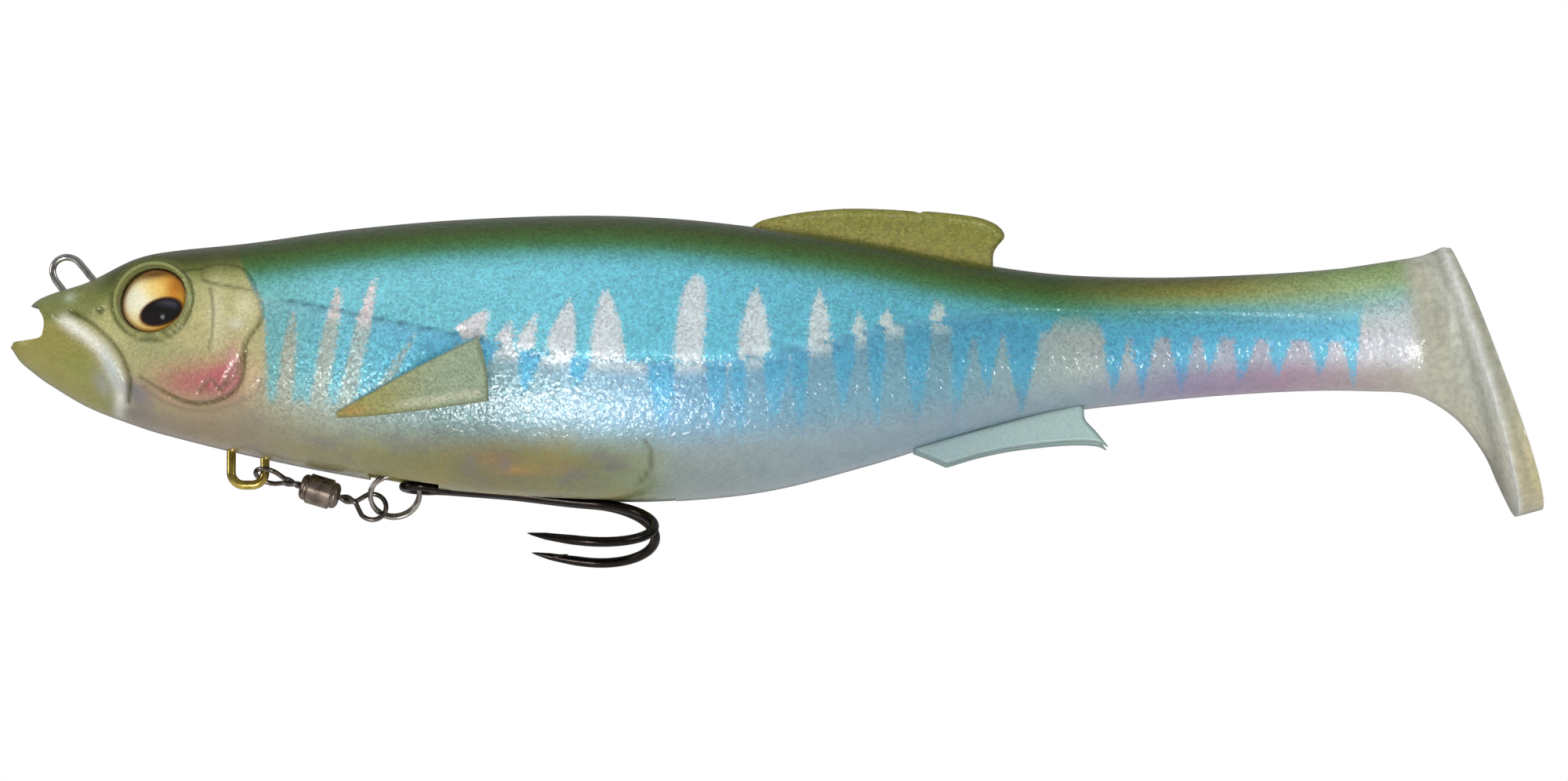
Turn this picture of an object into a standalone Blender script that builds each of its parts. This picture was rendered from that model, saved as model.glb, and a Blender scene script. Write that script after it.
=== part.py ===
"""Soft paddle-tail swimbait, 200 mm long, with its belly hook rig.

Origin: the middle of the line-tie loop on the nose. +X runs to the tail, +Z is up,
and the fish's left flank faces -Y. Lengths below are in millimetres; MM turns them
into Blender's metres.
"""

import math

import bmesh
import bpy
from mathutils import Matrix, Vector

MM = 0.001

# ---------------------------------------------------------------- driving dimensions
MOULD_GAP = 0.3       # clearance between soft pieces, and around what they hold
METAL_GAP = 0.15      # clearance between small metal pieces
RING_SIDES = 20       # points round one body section
WIRE_SIDES = 8
ARC_STEPS = 20

# Body sections: x, top z, bottom z, half width.
BODY = (
    (-7.9, -9.1, -9.7, 1.0),
    (-6.9, -6.6, -11.2, 2.6),
    (-5.4, -3.9, -12.5, 3.7),
    (-3.4, -2.6, -14.0, 4.4),
    (2.0, -0.8, -17.2, 5.6),
    (7.9, 2.1, -19.5, 7.0),
    (12.0, 3.1, -20.8, 7.9),
    (23.3, 4.3, -23.6, 9.5),
    (35.6, 6.0, -26.1, 10.7),
    (50.0, 7.3, -28.4, 11.4),
    (66.3, 7.9, -29.5, 11.5),
    (78.6, 7.5, -29.5, 10.8),
    (90.9, 6.2, -28.2, 9.6),
    (103.2, 4.5, -25.1, 8.2),
    (115.5, 2.1, -21.4, 7.0),
    (127.8, 0.3, -18.2, 6.0),
    (140.1, -0.2, -16.6, 5.3),
    (152.4, 0.1, -15.5, 4.9),
    (164.7, 0.9, -15.0, 4.6),
    (176.0, 2.6, -15.4, 4.6),
)
BODY_POWER = 2.3      # superellipse power of a body section
PADDLE_POWER = 2.1
SECTION_STEP = 5.0    # spacing of the sections along the body
HEAD_END = 13.0       # each station ahead of this is a section of its own
EVEN_START = 16.0     # where the evenly spaced sections start

# Flex lines, where one moulding is split into pieces that bend about Z.
BODY_FLEX_X = 90.0
STEM_FLEX_X = 138.0
TAIL_FLEX_X = 158.0
PADDLE_FLEX_X = 174.0
FLEX_REACH = 30.0               # sideways reach of the block that keeps one piece
FLEX_REAR = 250.0
FLEX_HEIGHT = (-60.0, 40.0)

# Paddle sections: top x, top z, bottom x, bottom z, half width, narrowing to the top.
PADDLE = (
    (166.0, 1.0, 166.0, -15.0, 4.6, 0.0),
    (170.0, 1.6, 170.0, -15.1, 4.6, 0.0),
    (174.5, 2.3, 174.3, -15.3, 4.6, 0.0),
    (176.5, 2.7, 177.5, -16.4, 4.9, 0.05),
    (177.8, 3.2, 181.5, -19.3, 5.8, 0.15),
    (178.5, 3.5, 184.9, -23.8, 7.6, 0.25),
    (178.9, 3.7, 187.2, -28.6, 9.6, 0.32),
    (179.2, 3.8, 188.7, -31.5, 11.3, 0.36),
    (180.2, 3.7, 192.0, -30.6, 11.3, 0.36),
    (181.9, 0.3, 190.9, -27.2, 8.8, 0.36),
)

# Mouth, in the XZ plane.
MOUTH_NOTCH = (
    (-12.0, -3.9), (-5.2, -4.0), (-4.1, -4.9), (-3.5, -6.1),
    (-3.6, -7.7), (-4.3, -8.5), (-7.9, -8.8), (-12.0, -8.8),
)
MOUTH_REACH = 12.0
MOUTH_CAVITY = ((-6.9, 1.0), (-2.5, 2.5), (-9.3, -4.5))   # x, y and z ranges

# Eyes.
EYE_AT = (10.9, 6.7, -3.7)
EYE_YAW = math.radians(12)      # turned towards the nose
EYE_TILT = math.radians(12)     # turned up
EYE_RADIUS = 4.3
SOCKET_RADIUS = 4.9
SOCKET_DEPTH = 1.4
SOCKET_CUT = 6.0                # reach of the cut that opens a socket
EYE_SIDES = 24
DOME_STEPS = 5
DOME_SPAN = (0.12, 0.90)        # shares of a quarter turn that the dome's rings cover
FOIL_THICKNESS = 0.3
LENS_HEIGHT = 1.9

# Line tie and hanger wires.
TIE_WIRE_RADIUS = 0.45
TIE_ROUTE = (
    (10.2, -11.5), (9.6, -9.0), (7.2, -6.3), (4.0, -4.7), (1.0, -3.5), (-0.7, -2.6),
    (-1.6, -1.5), (-2.4, -0.4), (-2.75, 0.8), (-2.3, 1.9), (-1.1, 2.5), (0.3, 2.15),
    (1.4, 1.0), (2.3, -0.1), (3.6, -1.4), (6.0, -2.9), (9.4, -4.6), (12.4, -7.0),
    (13.8, -9.4), (14.0, -11.5),
)
HANGER_RADIUS = 0.6
HANGER_X = (20.8, 25.2)
HANGER_BOTTOM = -27.4
HANGER_CORNER = 1.7
HANGER_TOP = -16.0

# Head weight sections: x, top z, bottom z, half width.
WEIGHT = (
    (8.0, -9.8, -13.0, 3.2),
    (12.0, -8.9, -16.5, 4.8),
    (18.0, -9.0, -19.0, 5.6),
    (25.0, -10.5, -20.3, 5.4),
    (30.0, -13.5, -20.6, 4.2),
)

# Swivel. Distances run along its axis from the hanger's side.
SWIVEL_HINGE = (24.0, 0.0, -25.73)
SWIVEL_SLOPE = math.radians(16.5)
SWIVEL_WIRE = 0.32
SWIVEL_LOOP = 1.8               # radius of a loop
SWIVEL_FRONT_NECK = 4.5
SWIVEL_FRONT_ROLL = math.radians(66)
BARREL_MIDDLE = 8.75
BARREL_LENGTH = 4.6
BARREL_RADIUS = 1.8
BARREL_BORE = 1.25
BARREL_CHAMFER = 0.45
BARREL_LIP = 0.6
SHAFT_RADIUS = 0.42
SHAFT_HEAD_RADIUS = 1.0
SHAFT_HEAD_LENGTH = 0.6
SWIVEL_REAR_NECK = 13.2
SWIVEL_REAR_ROLL = math.radians(-18)

# Split ring.
RING_MIDDLE = (42.22, -0.36, -28.72)
RING_RADIUS = 3.2
RING_WIRE = 0.3
RING_PITCH = 0.68
RING_TURNS = 2
RING_STEPS = 20                   # points in one turn
RING_START = 0.35                 # where the wire starts, in turns
RING_ROLL = math.radians(19.1)    # tilt axis in the XZ plane, up from X
RING_TILT = math.radians(31.3)    # upper side towards -Y

# Treble hook, in its own frame: along the shank, and out from it.
HOOK_EYE = (45.57, 0.0, -27.77)
HOOK_SLOPE = math.radians(4.3)
HOOK_ROLL = math.radians(3)
HOOK_WIRE = 0.65
HOOK_EYE_RADIUS = 2.2
HOOK_LEG = 0.82                 # from the shank's axis to each wire
HOOK_BEND_START = 22.6
HOOK_BEND_LENGTH = 8.3
HOOK_GAP = 13.5
HOOK_TIP = (14.7, 12.3)
HOOK_POINT_CURVE = 1.6          # how late the point bends in
HOOK_SINGLE_START = 3.8         # where the third hook joins the shank
HOOK_EYE_JOIN = 3.4             # where the eye's two ends meet the shank
HOOK_PIVOT = (44.34, 0.0, -27.58)
RING_PIVOT = (39.11, 0.0, -30.41)

# Belly groove, hook slot, frame and magnets, in the hook's frame.
GROOVE = ((0.6, 33.4), 2.1, (-10.0, 1.9))       # along, half width, out
SLOT = ((12.9, 33.4), 1.85, (-10.0, 14.9))
FRAME = ((4.5, 30.3), 3.6, (2.2, 16.2))
FRAME_SLOT = ((12.9, 34.0), 1.85, (0.0, 14.9))
RECESS = ((38.9, 48.0), 3.6, (-40.0, -25.2))    # x, half width, z
MAGNET_AT = (6.9, 10.6)
MAGNET_RADIUS = 1.6
MAGNET_DEPTH = (2.6, 5.6)

# Fins: outlines in the XZ plane.
DORSAL = (
    (95.6, 6.3), (89.6, 6.9), (91.2, 7.6), (94.2, 8.1), (97.2, 8.6), (100.8, 8.9),
    (109.4, 8.6), (113.5, 8.3), (118.7, 7.7), (121.4, 6.5), (121.9, 5.2),
    (120.3, 3.4), (120.4, 1.7),
)
DORSAL_THICKNESS = 1.5
ANAL = (
    (110.3, -23.3), (114.5, -24.9), (118.7, -23.9), (124.8, -22.9), (130.9, -22.3),
    (134.3, -22.3), (132.9, -20.2), (132.4, -17.8), (128.9, -18.4), (123.0, -19.7),
    (116.7, -21.5),
)
ANAL_THICKNESS = 0.9
ANAL_SPREAD = 2.0               # half the distance between the two roots
ANAL_SPLAY = math.radians(9)
PECTORAL = (
    (34.9, -18.7), (54.8, -9.6), (56.7, -15.8), (56.4, -18.0), (47.3, -18.9),
    (36.6, -19.4),
)
PECTORAL_THICKNESS = 0.9
PECTORAL_ROOT = (35.2, 10.3)    # x and |y| of the root hinge
PECTORAL_SPREAD = math.radians(20)

COLOURS = {
    "skin": ((0.18, 0.45, 0.52), 0.35, 0.0),
    "olive": ((0.30, 0.33, 0.12), 0.45, 0.0),
    "clear": ((0.62, 0.66, 0.62), 0.35, 0.0),
    "gold": ((0.85, 0.55, 0.12), 0.2, 1.0),
    "lens": ((0.75, 0.6, 0.3), 0.05, 0.0),
    "steel": ((0.62, 0.62, 0.60), 0.25, 1.0),
    "brass": ((0.72, 0.55, 0.16), 0.3, 1.0),
    "nickel": ((0.30, 0.27, 0.25), 0.3, 1.0),
    "black_nickel": ((0.06, 0.055, 0.05), 0.25, 1.0),
    "lead": ((0.25, 0.26, 0.28), 0.6, 1.0),
    "copper": ((0.60, 0.32, 0.18), 0.3, 1.0),
}


# ---------------------------------------------------------------- basic helpers
def clear_scene():
    for item in list(bpy.data.objects):
        bpy.data.objects.remove(item, do_unlink=True)


def make_material(name):
    colour, roughness, metallic = COLOURS[name]
    material = bpy.data.materials.new(name)
    material.use_nodes = True
    shader = material.node_tree.nodes["Principled BSDF"]
    shader.inputs["Base Color"].default_value = (*colour, 1.0)
    shader.inputs["Roughness"].default_value = roughness
    shader.inputs["Metallic"].default_value = metallic
    material.diffuse_color = (*colour, 1.0)
    return material


def add_mesh(name, mesh, colour=None, origin=(0, 0, 0)):
    """Turns a bmesh in millimetres into an object whose origin is at the given point."""
    bmesh.ops.transform(mesh, matrix=Matrix.Translation(-Vector(origin)), verts=mesh.verts)
    bmesh.ops.scale(mesh, vec=(MM, MM, MM), verts=mesh.verts)
    bmesh.ops.recalc_face_normals(mesh, faces=mesh.faces)
    data = bpy.data.meshes.new(name)
    mesh.to_mesh(data)
    mesh.free()
    item = bpy.data.objects.new(name, data)
    item.location = Vector(origin) * MM
    bpy.context.scene.collection.objects.link(item)
    if colour:
        data.materials.append(make_material(colour))
    data.shade_smooth()
    data.set_sharp_from_angle(angle=math.radians(40))
    return item


def as_helper(item):
    """Marks an object that only shapes another one."""
    item.hide_render = True
    item.display_type = "WIRE"
    return item


def combine(item, helper, operation="DIFFERENCE"):
    modifier = item.modifiers.new(helper.name, "BOOLEAN")
    modifier.operation = operation
    modifier.object = as_helper(helper)
    modifier.solver = "EXACT"


def smooth_stations(stations, x):
    """Catmull-Rom values at x, through rows that start with their own x."""
    index = max(i for i, row in enumerate(stations[:-1]) if row[0] <= x or i == 0)
    before = stations[max(index - 1, 0)]
    here = stations[index]
    after = stations[index + 1]
    beyond = stations[min(index + 2, len(stations) - 1)]
    span = after[0] - here[0]
    t = (x - here[0]) / span
    values = []
    for k in range(1, len(here)):
        slope_here = (after[k] - before[k]) / (after[0] - before[0]) * span
        slope_after = (beyond[k] - here[k]) / (beyond[0] - here[0]) * span
        values.append(
            here[k] * (2 * t**3 - 3 * t**2 + 1)
            + slope_here * (t**3 - 2 * t**2 + t)
            + after[k] * (3 * t**2 - 2 * t**3)
            + slope_after * (t**3 - t**2)
        )
    return values


def section(top, bottom, half_width, narrowing=0.0, power=BODY_POWER, sides=RING_SIDES):
    """Points of a superellipse between two points of the XZ plane."""
    top = Vector((top[0], 0, top[1]))
    bottom = Vector((bottom[0], 0, bottom[1]))
    points = []
    for i in range(sides):
        angle = 2 * math.pi * (i + 0.5) / sides
        across = math.copysign(abs(math.cos(angle)) ** (2 / power), math.cos(angle))
        up = math.copysign(abs(math.sin(angle)) ** (2 / power), math.sin(angle))
        point = bottom.lerp(top, (up + 1) / 2)
        point.y = across * half_width * (1 - narrowing * up)
        points.append(point)
    return points


def loft(rings, closed_path=False):
    """A closed body through rings that hold the same number of points."""
    mesh = bmesh.new()
    rows = [[mesh.verts.new(point) for point in ring] for ring in rings]
    count = len(rows[0])
    pairs = list(zip(rows, rows[1:]))
    if closed_path:
        pairs.append((rows[-1], rows[0]))
    for low, high in pairs:
        for i in range(count):
            j = (i + 1) % count
            mesh.faces.new((low[i], low[j], high[j], high[i]))
    if not closed_path:
        mesh.faces.new(rows[0])
        mesh.faces.new(rows[-1])
    return mesh


def sweep(path, radius, sides=WIRE_SIDES, closed_path=False, radii=None):
    """A round wire along a path, with its frame carried from point to point."""
    path = [Vector(point) for point in path]
    count = len(path)
    tangents = []
    for i in range(count):
        before = path[i - 1] if i or closed_path else path[0]
        after = path[(i + 1) % count] if i + 1 < count or closed_path else path[-1]
        tangents.append((after - before).normalized())
    side = tangents[0].orthogonal().normalized()
    sides_of_path = []
    for tangent in tangents:
        side = (side - tangent * side.dot(tangent)).normalized()
        sides_of_path.append(side)
    twist = 0.0
    if closed_path:
        last = sides_of_path[-1]
        carried = (last - tangents[0] * last.dot(tangents[0])).normalized()
        first = sides_of_path[0]
        twist = math.atan2(carried.cross(first).dot(tangents[0]), carried.dot(first))
    rings = []
    for i, point in enumerate(path):
        size = radii[i] if radii else radius
        start = twist * i / count
        normal = sides_of_path[i]
        other = tangents[i].cross(normal)
        ring = []
        for k in range(sides):
            angle = start + 2 * math.pi * k / sides
            ring.append(point + (normal * math.cos(angle) + other * math.sin(angle)) * size)
        rings.append(ring)
    return loft(rings, closed_path)


def prism(outline, low, high, axis="Y"):
    """An outline extruded along Y (outline in XZ) or Z (outline in XY)."""
    def place(a, b, along):
        return (a, along, b) if axis == "Y" else (a, b, along)

    return loft([[place(a, b, level) for a, b in outline] for level in (low, high)])


def block(x_range, half_width, z_range):
    x0, x1 = x_range
    z0, z1 = z_range
    return prism(((x0, z0), (x1, z0), (x1, z1), (x0, z1)), -half_width, half_width)


def turned(profile, sides=ARC_STEPS):
    """A body turned about X. The profile's points (x, radius) close on themselves."""
    rings = []
    for i in range(sides):
        angle = 2 * math.pi * i / sides
        rings.append([
            (x, radius * math.cos(angle), radius * math.sin(angle)) for x, radius in profile
        ])
    return loft(rings, closed_path=True)


def spindle(profile, sides=ARC_STEPS):
    """A solid body turned about X from (x, radius) rows, with flat ends."""
    rings = []
    for x, radius in profile:
        rings.append([
            (
                x,
                radius * math.cos(2 * math.pi * i / sides),
                radius * math.sin(2 * math.pi * i / sides),
            )
            for i in range(sides)
        ])
    return loft(rings)


def moved(mesh, matrix):
    bmesh.ops.transform(mesh, matrix=matrix, verts=mesh.verts)
    return mesh


def frame_matrix(origin, x_axis, y_axis):
    """Places a local frame: its X along x_axis, its Y as near y_axis as it can be."""
    x_axis = Vector(x_axis).normalized()
    z_axis = x_axis.cross(Vector(y_axis)).normalized()
    y_axis = z_axis.cross(x_axis)
    rotation = Matrix((x_axis, y_axis, z_axis)).transposed().to_4x4()
    return Matrix.Translation(Vector(origin)) @ rotation


def arc(middle, radius, start, end, steps=ARC_STEPS):
    """Points of an arc in a plane, angles in degrees."""
    points = []
    for i in range(steps + 1):
        angle = math.radians(start + (end - start) * i / steps)
        points.append((
            middle[0] + radius * math.cos(angle),
            middle[1] + radius * math.sin(angle),
        ))
    return points


def smooth_route(points, steps=3):
    """A Catmull-Rom curve through points of any dimension."""
    rows = [(i, *point) for i, point in enumerate(points)]
    route = []
    for i in range(len(points) - 1):
        for k in range(steps):
            route.append(tuple(smooth_stations(rows, i + k / steps)))
    route.append(tuple(points[-1]))
    return route


# ---------------------------------------------------------------- soft body
def half_width_at(x):
    return smooth_stations(BODY, x)[2]


def body_loft(start, end):
    """The body's skin between two x, with a section at each driving station of the head."""
    places = [row[0] for row in BODY if start < row[0] < min(end, HEAD_END)]
    first = max(start, EVEN_START)
    count = max(2, round((end - first) / SECTION_STEP))
    places += [first + (end - first) * i / count for i in range(count + 1)]
    if start < BODY[1][0]:
        places.insert(0, start)
    rings = []
    for x in places:
        top, bottom, half_width = smooth_stations(BODY, x)
        rings.append(section((x, top), (x, bottom), half_width))
    return loft(rings)


def flex_prism(front_x, rear_x):
    """Keeps what lies behind a convex knuckle at front_x and ahead of a hollow at rear_x."""
    far = FLEX_REACH
    outline = []
    if front_x is None:
        outline += [(-far, far), (-far, -far)]
    else:
        outline += [(front_x, far)]
        outline += arc((front_x, 0), half_width_at(front_x), 90, 270)
        outline += [(front_x, -far)]
    if rear_x is None:
        outline += [(FLEX_REAR, -far), (FLEX_REAR, far)]
    else:
        outline += [(rear_x, -far)]
        outline += arc((rear_x, 0), half_width_at(rear_x) + MOULD_GAP, 270, 90)
        outline += [(rear_x, far)]
    return prism(outline, *FLEX_HEIGHT, axis="Z")


def add_segment(name, mesh, front_x, rear_x):
    origin = (front_x or 0.0, 0.0, 0.0)
    item = add_mesh(name, mesh, "skin", origin)
    combine(item, add_mesh(name + "_ends", flex_prism(front_x, rear_x)), "INTERSECT")
    return item


def hook_frame():
    """The treble's frame: X along the shank, Z up out of it, rolled a little."""
    along = Vector((math.cos(HOOK_SLOPE), 0, -math.sin(HOOK_SLOPE)))
    up = Vector((math.sin(HOOK_SLOPE), 0, math.cos(HOOK_SLOPE)))
    across = Vector((0, 1, 0)) * math.cos(HOOK_ROLL) - up * math.sin(HOOK_ROLL)
    return frame_matrix(HOOK_EYE, along, across)


def shank_frame():
    """As the hook's frame, without its roll: the groove and the slot are cut upright."""
    along = (math.cos(HOOK_SLOPE), 0, -math.sin(HOOK_SLOPE))
    return frame_matrix(HOOK_EYE, along, (0, 1, 0))


def add_front_body():
    body = add_segment("body_front", body_loft(BODY[0][0], BODY_FLEX_X + 4), None, BODY_FLEX_X)
    notch = prism(MOUTH_NOTCH, -MOUTH_REACH, MOUTH_REACH)
    combine(body, add_mesh("mouth_notch", notch))
    x_range, y_range, z_range = MOUTH_CAVITY
    combine(body, add_mesh("mouth_cavity", block(x_range, y_range[1], z_range)))
    combine(body, add_mesh("ring_recess", block(*RECESS)))
    place = shank_frame()
    combine(body, add_mesh("shank_groove", moved(block(*GROOVE), place)))
    combine(body, add_mesh("hook_slot", moved(block(*SLOT), place)))
    along, half_width, out = FRAME
    pocket = block(
        (along[0] - MOULD_GAP, along[1] + MOULD_GAP),
        half_width + MOULD_GAP,
        (out[0] - 2 * MOULD_GAP, out[1] + MOULD_GAP),
    )
    combine(body, add_mesh("frame_pocket", moved(pocket, place)))
    combine(body, add_mesh("weight_pocket", weight_loft(MOULD_GAP)))
    combine(body, add_mesh("tie_bore", sweep(tie_route(), TIE_WIRE_RADIUS + MOULD_GAP)))
    for k, x in enumerate(HANGER_X):
        bore = sweep([(x, 0, HANGER_TOP - 1), (x, 0, HANGER_BOTTOM)], HANGER_RADIUS + MOULD_GAP)
        combine(body, add_mesh(f"hanger_bore_{k}", bore))
    for side in (-1, 1):
        socket = spindle(((0.0, SOCKET_RADIUS), (SOCKET_CUT, SOCKET_RADIUS)), sides=EYE_SIDES)
        combine(body, add_mesh(f"socket_{side}", moved(socket, eye_frame(side))))


def add_rear_bodies():
    add_segment("body_mid", body_loft(BODY_FLEX_X - 12, STEM_FLEX_X + 3), BODY_FLEX_X, STEM_FLEX_X)
    add_segment("stem_front", body_loft(STEM_FLEX_X - 8, TAIL_FLEX_X + 3), STEM_FLEX_X, TAIL_FLEX_X)
    add_segment("stem_rear", body_loft(TAIL_FLEX_X - 7, PADDLE_FLEX_X + 2), TAIL_FLEX_X, PADDLE_FLEX_X)
    rings = []
    for top_x, top_z, bottom_x, bottom_z, half_width, narrowing in PADDLE:
        rings.append(
            section((top_x, top_z), (bottom_x, bottom_z), half_width, narrowing, PADDLE_POWER)
        )
    add_segment("paddle_tail", loft(rings), PADDLE_FLEX_X, None)


# ---------------------------------------------------------------- fins
def add_fins():
    half = DORSAL_THICKNESS / 2
    add_mesh("dorsal_fin", prism(DORSAL, -half, half), "olive", (95.6, 0, 6.3))
    half = ANAL_THICKNESS / 2
    root = Vector((ANAL[0][0], 0, ANAL[0][1]))
    tail_root = Vector((ANAL[7][0], 0, ANAL[7][1]))
    for name, side in (("anal_fin_left", -1), ("anal_fin_right", 1)):
        hinge = root + Vector((0, side * ANAL_SPREAD, 0))
        fin = moved(prism(ANAL, -half, half), Matrix.Translation((0, side * ANAL_SPREAD, 0)))
        turn = Matrix.Rotation(side * ANAL_SPLAY, 4, tail_root - root)
        around = Matrix.Translation(hinge) @ turn @ Matrix.Translation(-hinge)
        add_mesh(name, moved(fin, around), "clear", hinge)
    half = PECTORAL_THICKNESS / 2
    for name, side in (("pectoral_fin_left", -1), ("pectoral_fin_right", 1)):
        hinge = Vector((PECTORAL_ROOT[0], side * PECTORAL_ROOT[1], 0))
        spread = Matrix.Rotation(side * PECTORAL_SPREAD, 4, "Z")
        shift = Matrix.Translation((-PECTORAL_ROOT[0], 0, 0))
        fin = moved(prism(PECTORAL, -half, half), Matrix.Translation(hinge) @ spread @ shift)
        add_mesh(name, fin, "olive", (hinge.x, hinge.y, PECTORAL[0][1]))


# ---------------------------------------------------------------- eyes
def eye_frame(side):
    """The eye's frame: X out of the head, origin on the socket's floor."""
    out = Vector((
        -math.sin(EYE_YAW) * math.cos(EYE_TILT),
        side * math.cos(EYE_YAW) * math.cos(EYE_TILT),
        math.sin(EYE_TILT),
    ))
    at = Vector((EYE_AT[0], side * EYE_AT[1], EYE_AT[2])) - out * SOCKET_DEPTH
    return frame_matrix(at, out, (1, 0, 0))


def add_eyes():
    base = METAL_GAP + FOIL_THICKNESS + METAL_GAP
    dome = []
    low, high = DOME_SPAN
    for i in range(DOME_STEPS + 1):
        angle = math.pi / 2 * (low + (high - low) * i / DOME_STEPS)
        dome.append((base + LENS_HEIGHT * math.sin(angle), EYE_RADIUS * math.cos(angle)))
    for name, side in (("left", -1), ("right", 1)):
        place = eye_frame(side)
        foil = spindle(
            ((METAL_GAP, EYE_RADIUS), (METAL_GAP + FOIL_THICKNESS, EYE_RADIUS)), sides=EYE_SIDES
        )
        add_mesh(f"eye_foil_{name}", moved(foil, place), "gold")
        lens = spindle([(base, EYE_RADIUS)] + dome, sides=EYE_SIDES)
        add_mesh(f"eye_lens_{name}", moved(lens, place), "lens")


# ---------------------------------------------------------------- wires and weight
def tie_route():
    return [(x, 0.0, z) for x, z in smooth_route(TIE_ROUTE)]


def weight_loft(extra=0.0):
    rings = []
    for i, (x, top, bottom, half_width) in enumerate(WEIGHT):
        end = (i == len(WEIGHT) - 1) - (i == 0)
        place = x + end * extra
        rings.append(section((place, top + extra), (place, bottom - extra), half_width + extra))
    return loft(rings)


def add_wires():
    add_mesh("line_tie", sweep(tie_route(), TIE_WIRE_RADIUS), "steel")
    left, right = HANGER_X
    low = HANGER_BOTTOM + HANGER_CORNER
    route = [(left, HANGER_TOP), (left, (HANGER_TOP + low) / 2)]
    route += arc((left + HANGER_CORNER, low), HANGER_CORNER, 180, 270, 6)
    route += arc((right - HANGER_CORNER, low), HANGER_CORNER, 270, 360, 6)
    route += [(right, (HANGER_TOP + low) / 2), (right, HANGER_TOP)]
    path = [(x, 0.0, z) for x, z in route]
    add_mesh("belly_hanger", sweep(path, HANGER_RADIUS, sides=10), "brass")
    weight = add_mesh("head_weight", weight_loft(), "lead")
    combine(weight, add_mesh("tie_socket", sweep(tie_route(), TIE_WIRE_RADIUS + METAL_GAP)))
    for k, x in enumerate(HANGER_X):
        path = [(x, 0, HANGER_TOP + METAL_GAP), (x, 0, HANGER_BOTTOM)]
        bore = sweep(path, HANGER_RADIUS + METAL_GAP, sides=10)
        combine(weight, add_mesh(f"hanger_socket_{k}", bore))


def add_belly_frame():
    place = shank_frame()
    frame = add_mesh("belly_frame", moved(block(*FRAME), place), "clear")
    combine(frame, add_mesh("frame_slot", moved(block(*FRAME_SLOT), place)))
    upright = Matrix.Rotation(-math.pi / 2, 4, "Y")
    for name, along in zip(("magnet_front", "magnet_rear"), MAGNET_AT):
        at = place @ Matrix.Translation((along, 0, 0)) @ upright
        low, high = MAGNET_DEPTH
        magnet = spindle(((low, MAGNET_RADIUS), (high, MAGNET_RADIUS)))
        add_mesh(name, moved(magnet, at), "copper")
        pocket = spindle(
            ((-1.0, MAGNET_RADIUS + METAL_GAP), (high + METAL_GAP, MAGNET_RADIUS + METAL_GAP))
        )
        combine(frame, add_mesh(name + "_pocket", moved(pocket, at)))


# ---------------------------------------------------------------- swivel and ring
def swivel_frame(roll=0.0):
    along = Vector((math.cos(SWIVEL_SLOPE), 0, -math.sin(SWIVEL_SLOPE)))
    across = Matrix.Rotation(roll, 3, along) @ along.cross(Vector((0, 1, 0)))
    return frame_matrix(SWIVEL_HINGE, along, across)


def eye_loop(neck, direction):
    """A drop-shaped loop in the local XY plane, its neck at x = neck."""
    middle = neck + direction * (SWIVEL_FRONT_NECK - SWIVEL_LOOP)
    corner = 50
    points = []
    for x, y in arc((0, 0), SWIVEL_LOOP, -180 + corner, 180 - corner, 14):
        points.append((middle + direction * x, y, 0.0))
    points.append((neck + direction * 0.5, 0.3, 0.0))
    points.append((neck, 0.0, 0.0))
    points.append((neck + direction * 0.5, -0.3, 0.0))
    return points


def add_swivel_eye(name, neck, direction, roll):
    """One loop and its headed shaft, which turns inside the barrel."""
    place = swivel_frame(roll)
    loop = sweep(eye_loop(neck, direction), SWIVEL_WIRE, closed_path=True)
    eye = add_mesh(name, moved(loop, place), "nickel", SWIVEL_HINGE)
    head_end = BARREL_MIDDLE + direction * METAL_GAP
    head_start = head_end + direction * SHAFT_HEAD_LENGTH
    shaft = spindle(
        (
            (head_end, SHAFT_HEAD_RADIUS), (head_start, SHAFT_HEAD_RADIUS),
            (head_start, SHAFT_RADIUS), (neck + direction * 0.3, SHAFT_RADIUS),
        ),
        sides=10,
    )
    combine(eye, add_mesh(name + "_shaft", moved(shaft, place)), "UNION")


def add_swivel():
    add_swivel_eye("swivel_front_eye", SWIVEL_FRONT_NECK, -1, SWIVEL_FRONT_ROLL)
    add_swivel_eye("swivel_rear_eye", SWIVEL_REAR_NECK, 1, SWIVEL_REAR_ROLL)
    half = BARREL_LENGTH / 2
    low = BARREL_MIDDLE - half
    high = BARREL_MIDDLE + half
    waist = BARREL_RADIUS - BARREL_CHAMFER
    hole = SHAFT_RADIUS + METAL_GAP
    barrel = turned(
        (
            (low, hole), (low, waist), (low + BARREL_CHAMFER, BARREL_RADIUS),
            (high - BARREL_CHAMFER, BARREL_RADIUS), (high, waist), (high, hole),
            (high - BARREL_LIP, hole), (high - BARREL_LIP, BARREL_BORE),
            (low + BARREL_LIP, BARREL_BORE), (low + BARREL_LIP, hole),
        )
    )
    place = swivel_frame()
    middle = place @ Vector((BARREL_MIDDLE, 0, 0))
    add_mesh("swivel_barrel", moved(barrel, place), "nickel", middle)


def ring_axes():
    along = Vector((math.cos(RING_ROLL), 0, math.sin(RING_ROLL)))
    up = Vector((-math.sin(RING_ROLL), 0, math.cos(RING_ROLL)))
    up = up * math.cos(RING_TILT) - Vector((0, 1, 0)) * math.sin(RING_TILT)
    return along, up


def add_split_ring():
    along, up = ring_axes()
    place = frame_matrix(RING_MIDDLE, along, up)
    path = []
    for i in range(RING_STEPS * RING_TURNS + 1):
        turn = i / RING_STEPS
        rise = RING_PITCH * (turn - RING_TURNS / 2)
        angle = 2 * math.pi * (turn + RING_START)
        path.append((RING_RADIUS * math.cos(angle), RING_RADIUS * math.sin(angle), rise))
    ring = moved(sweep(path, RING_WIRE), place)
    add_mesh("split_ring", ring, "steel", RING_PIVOT)


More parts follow.
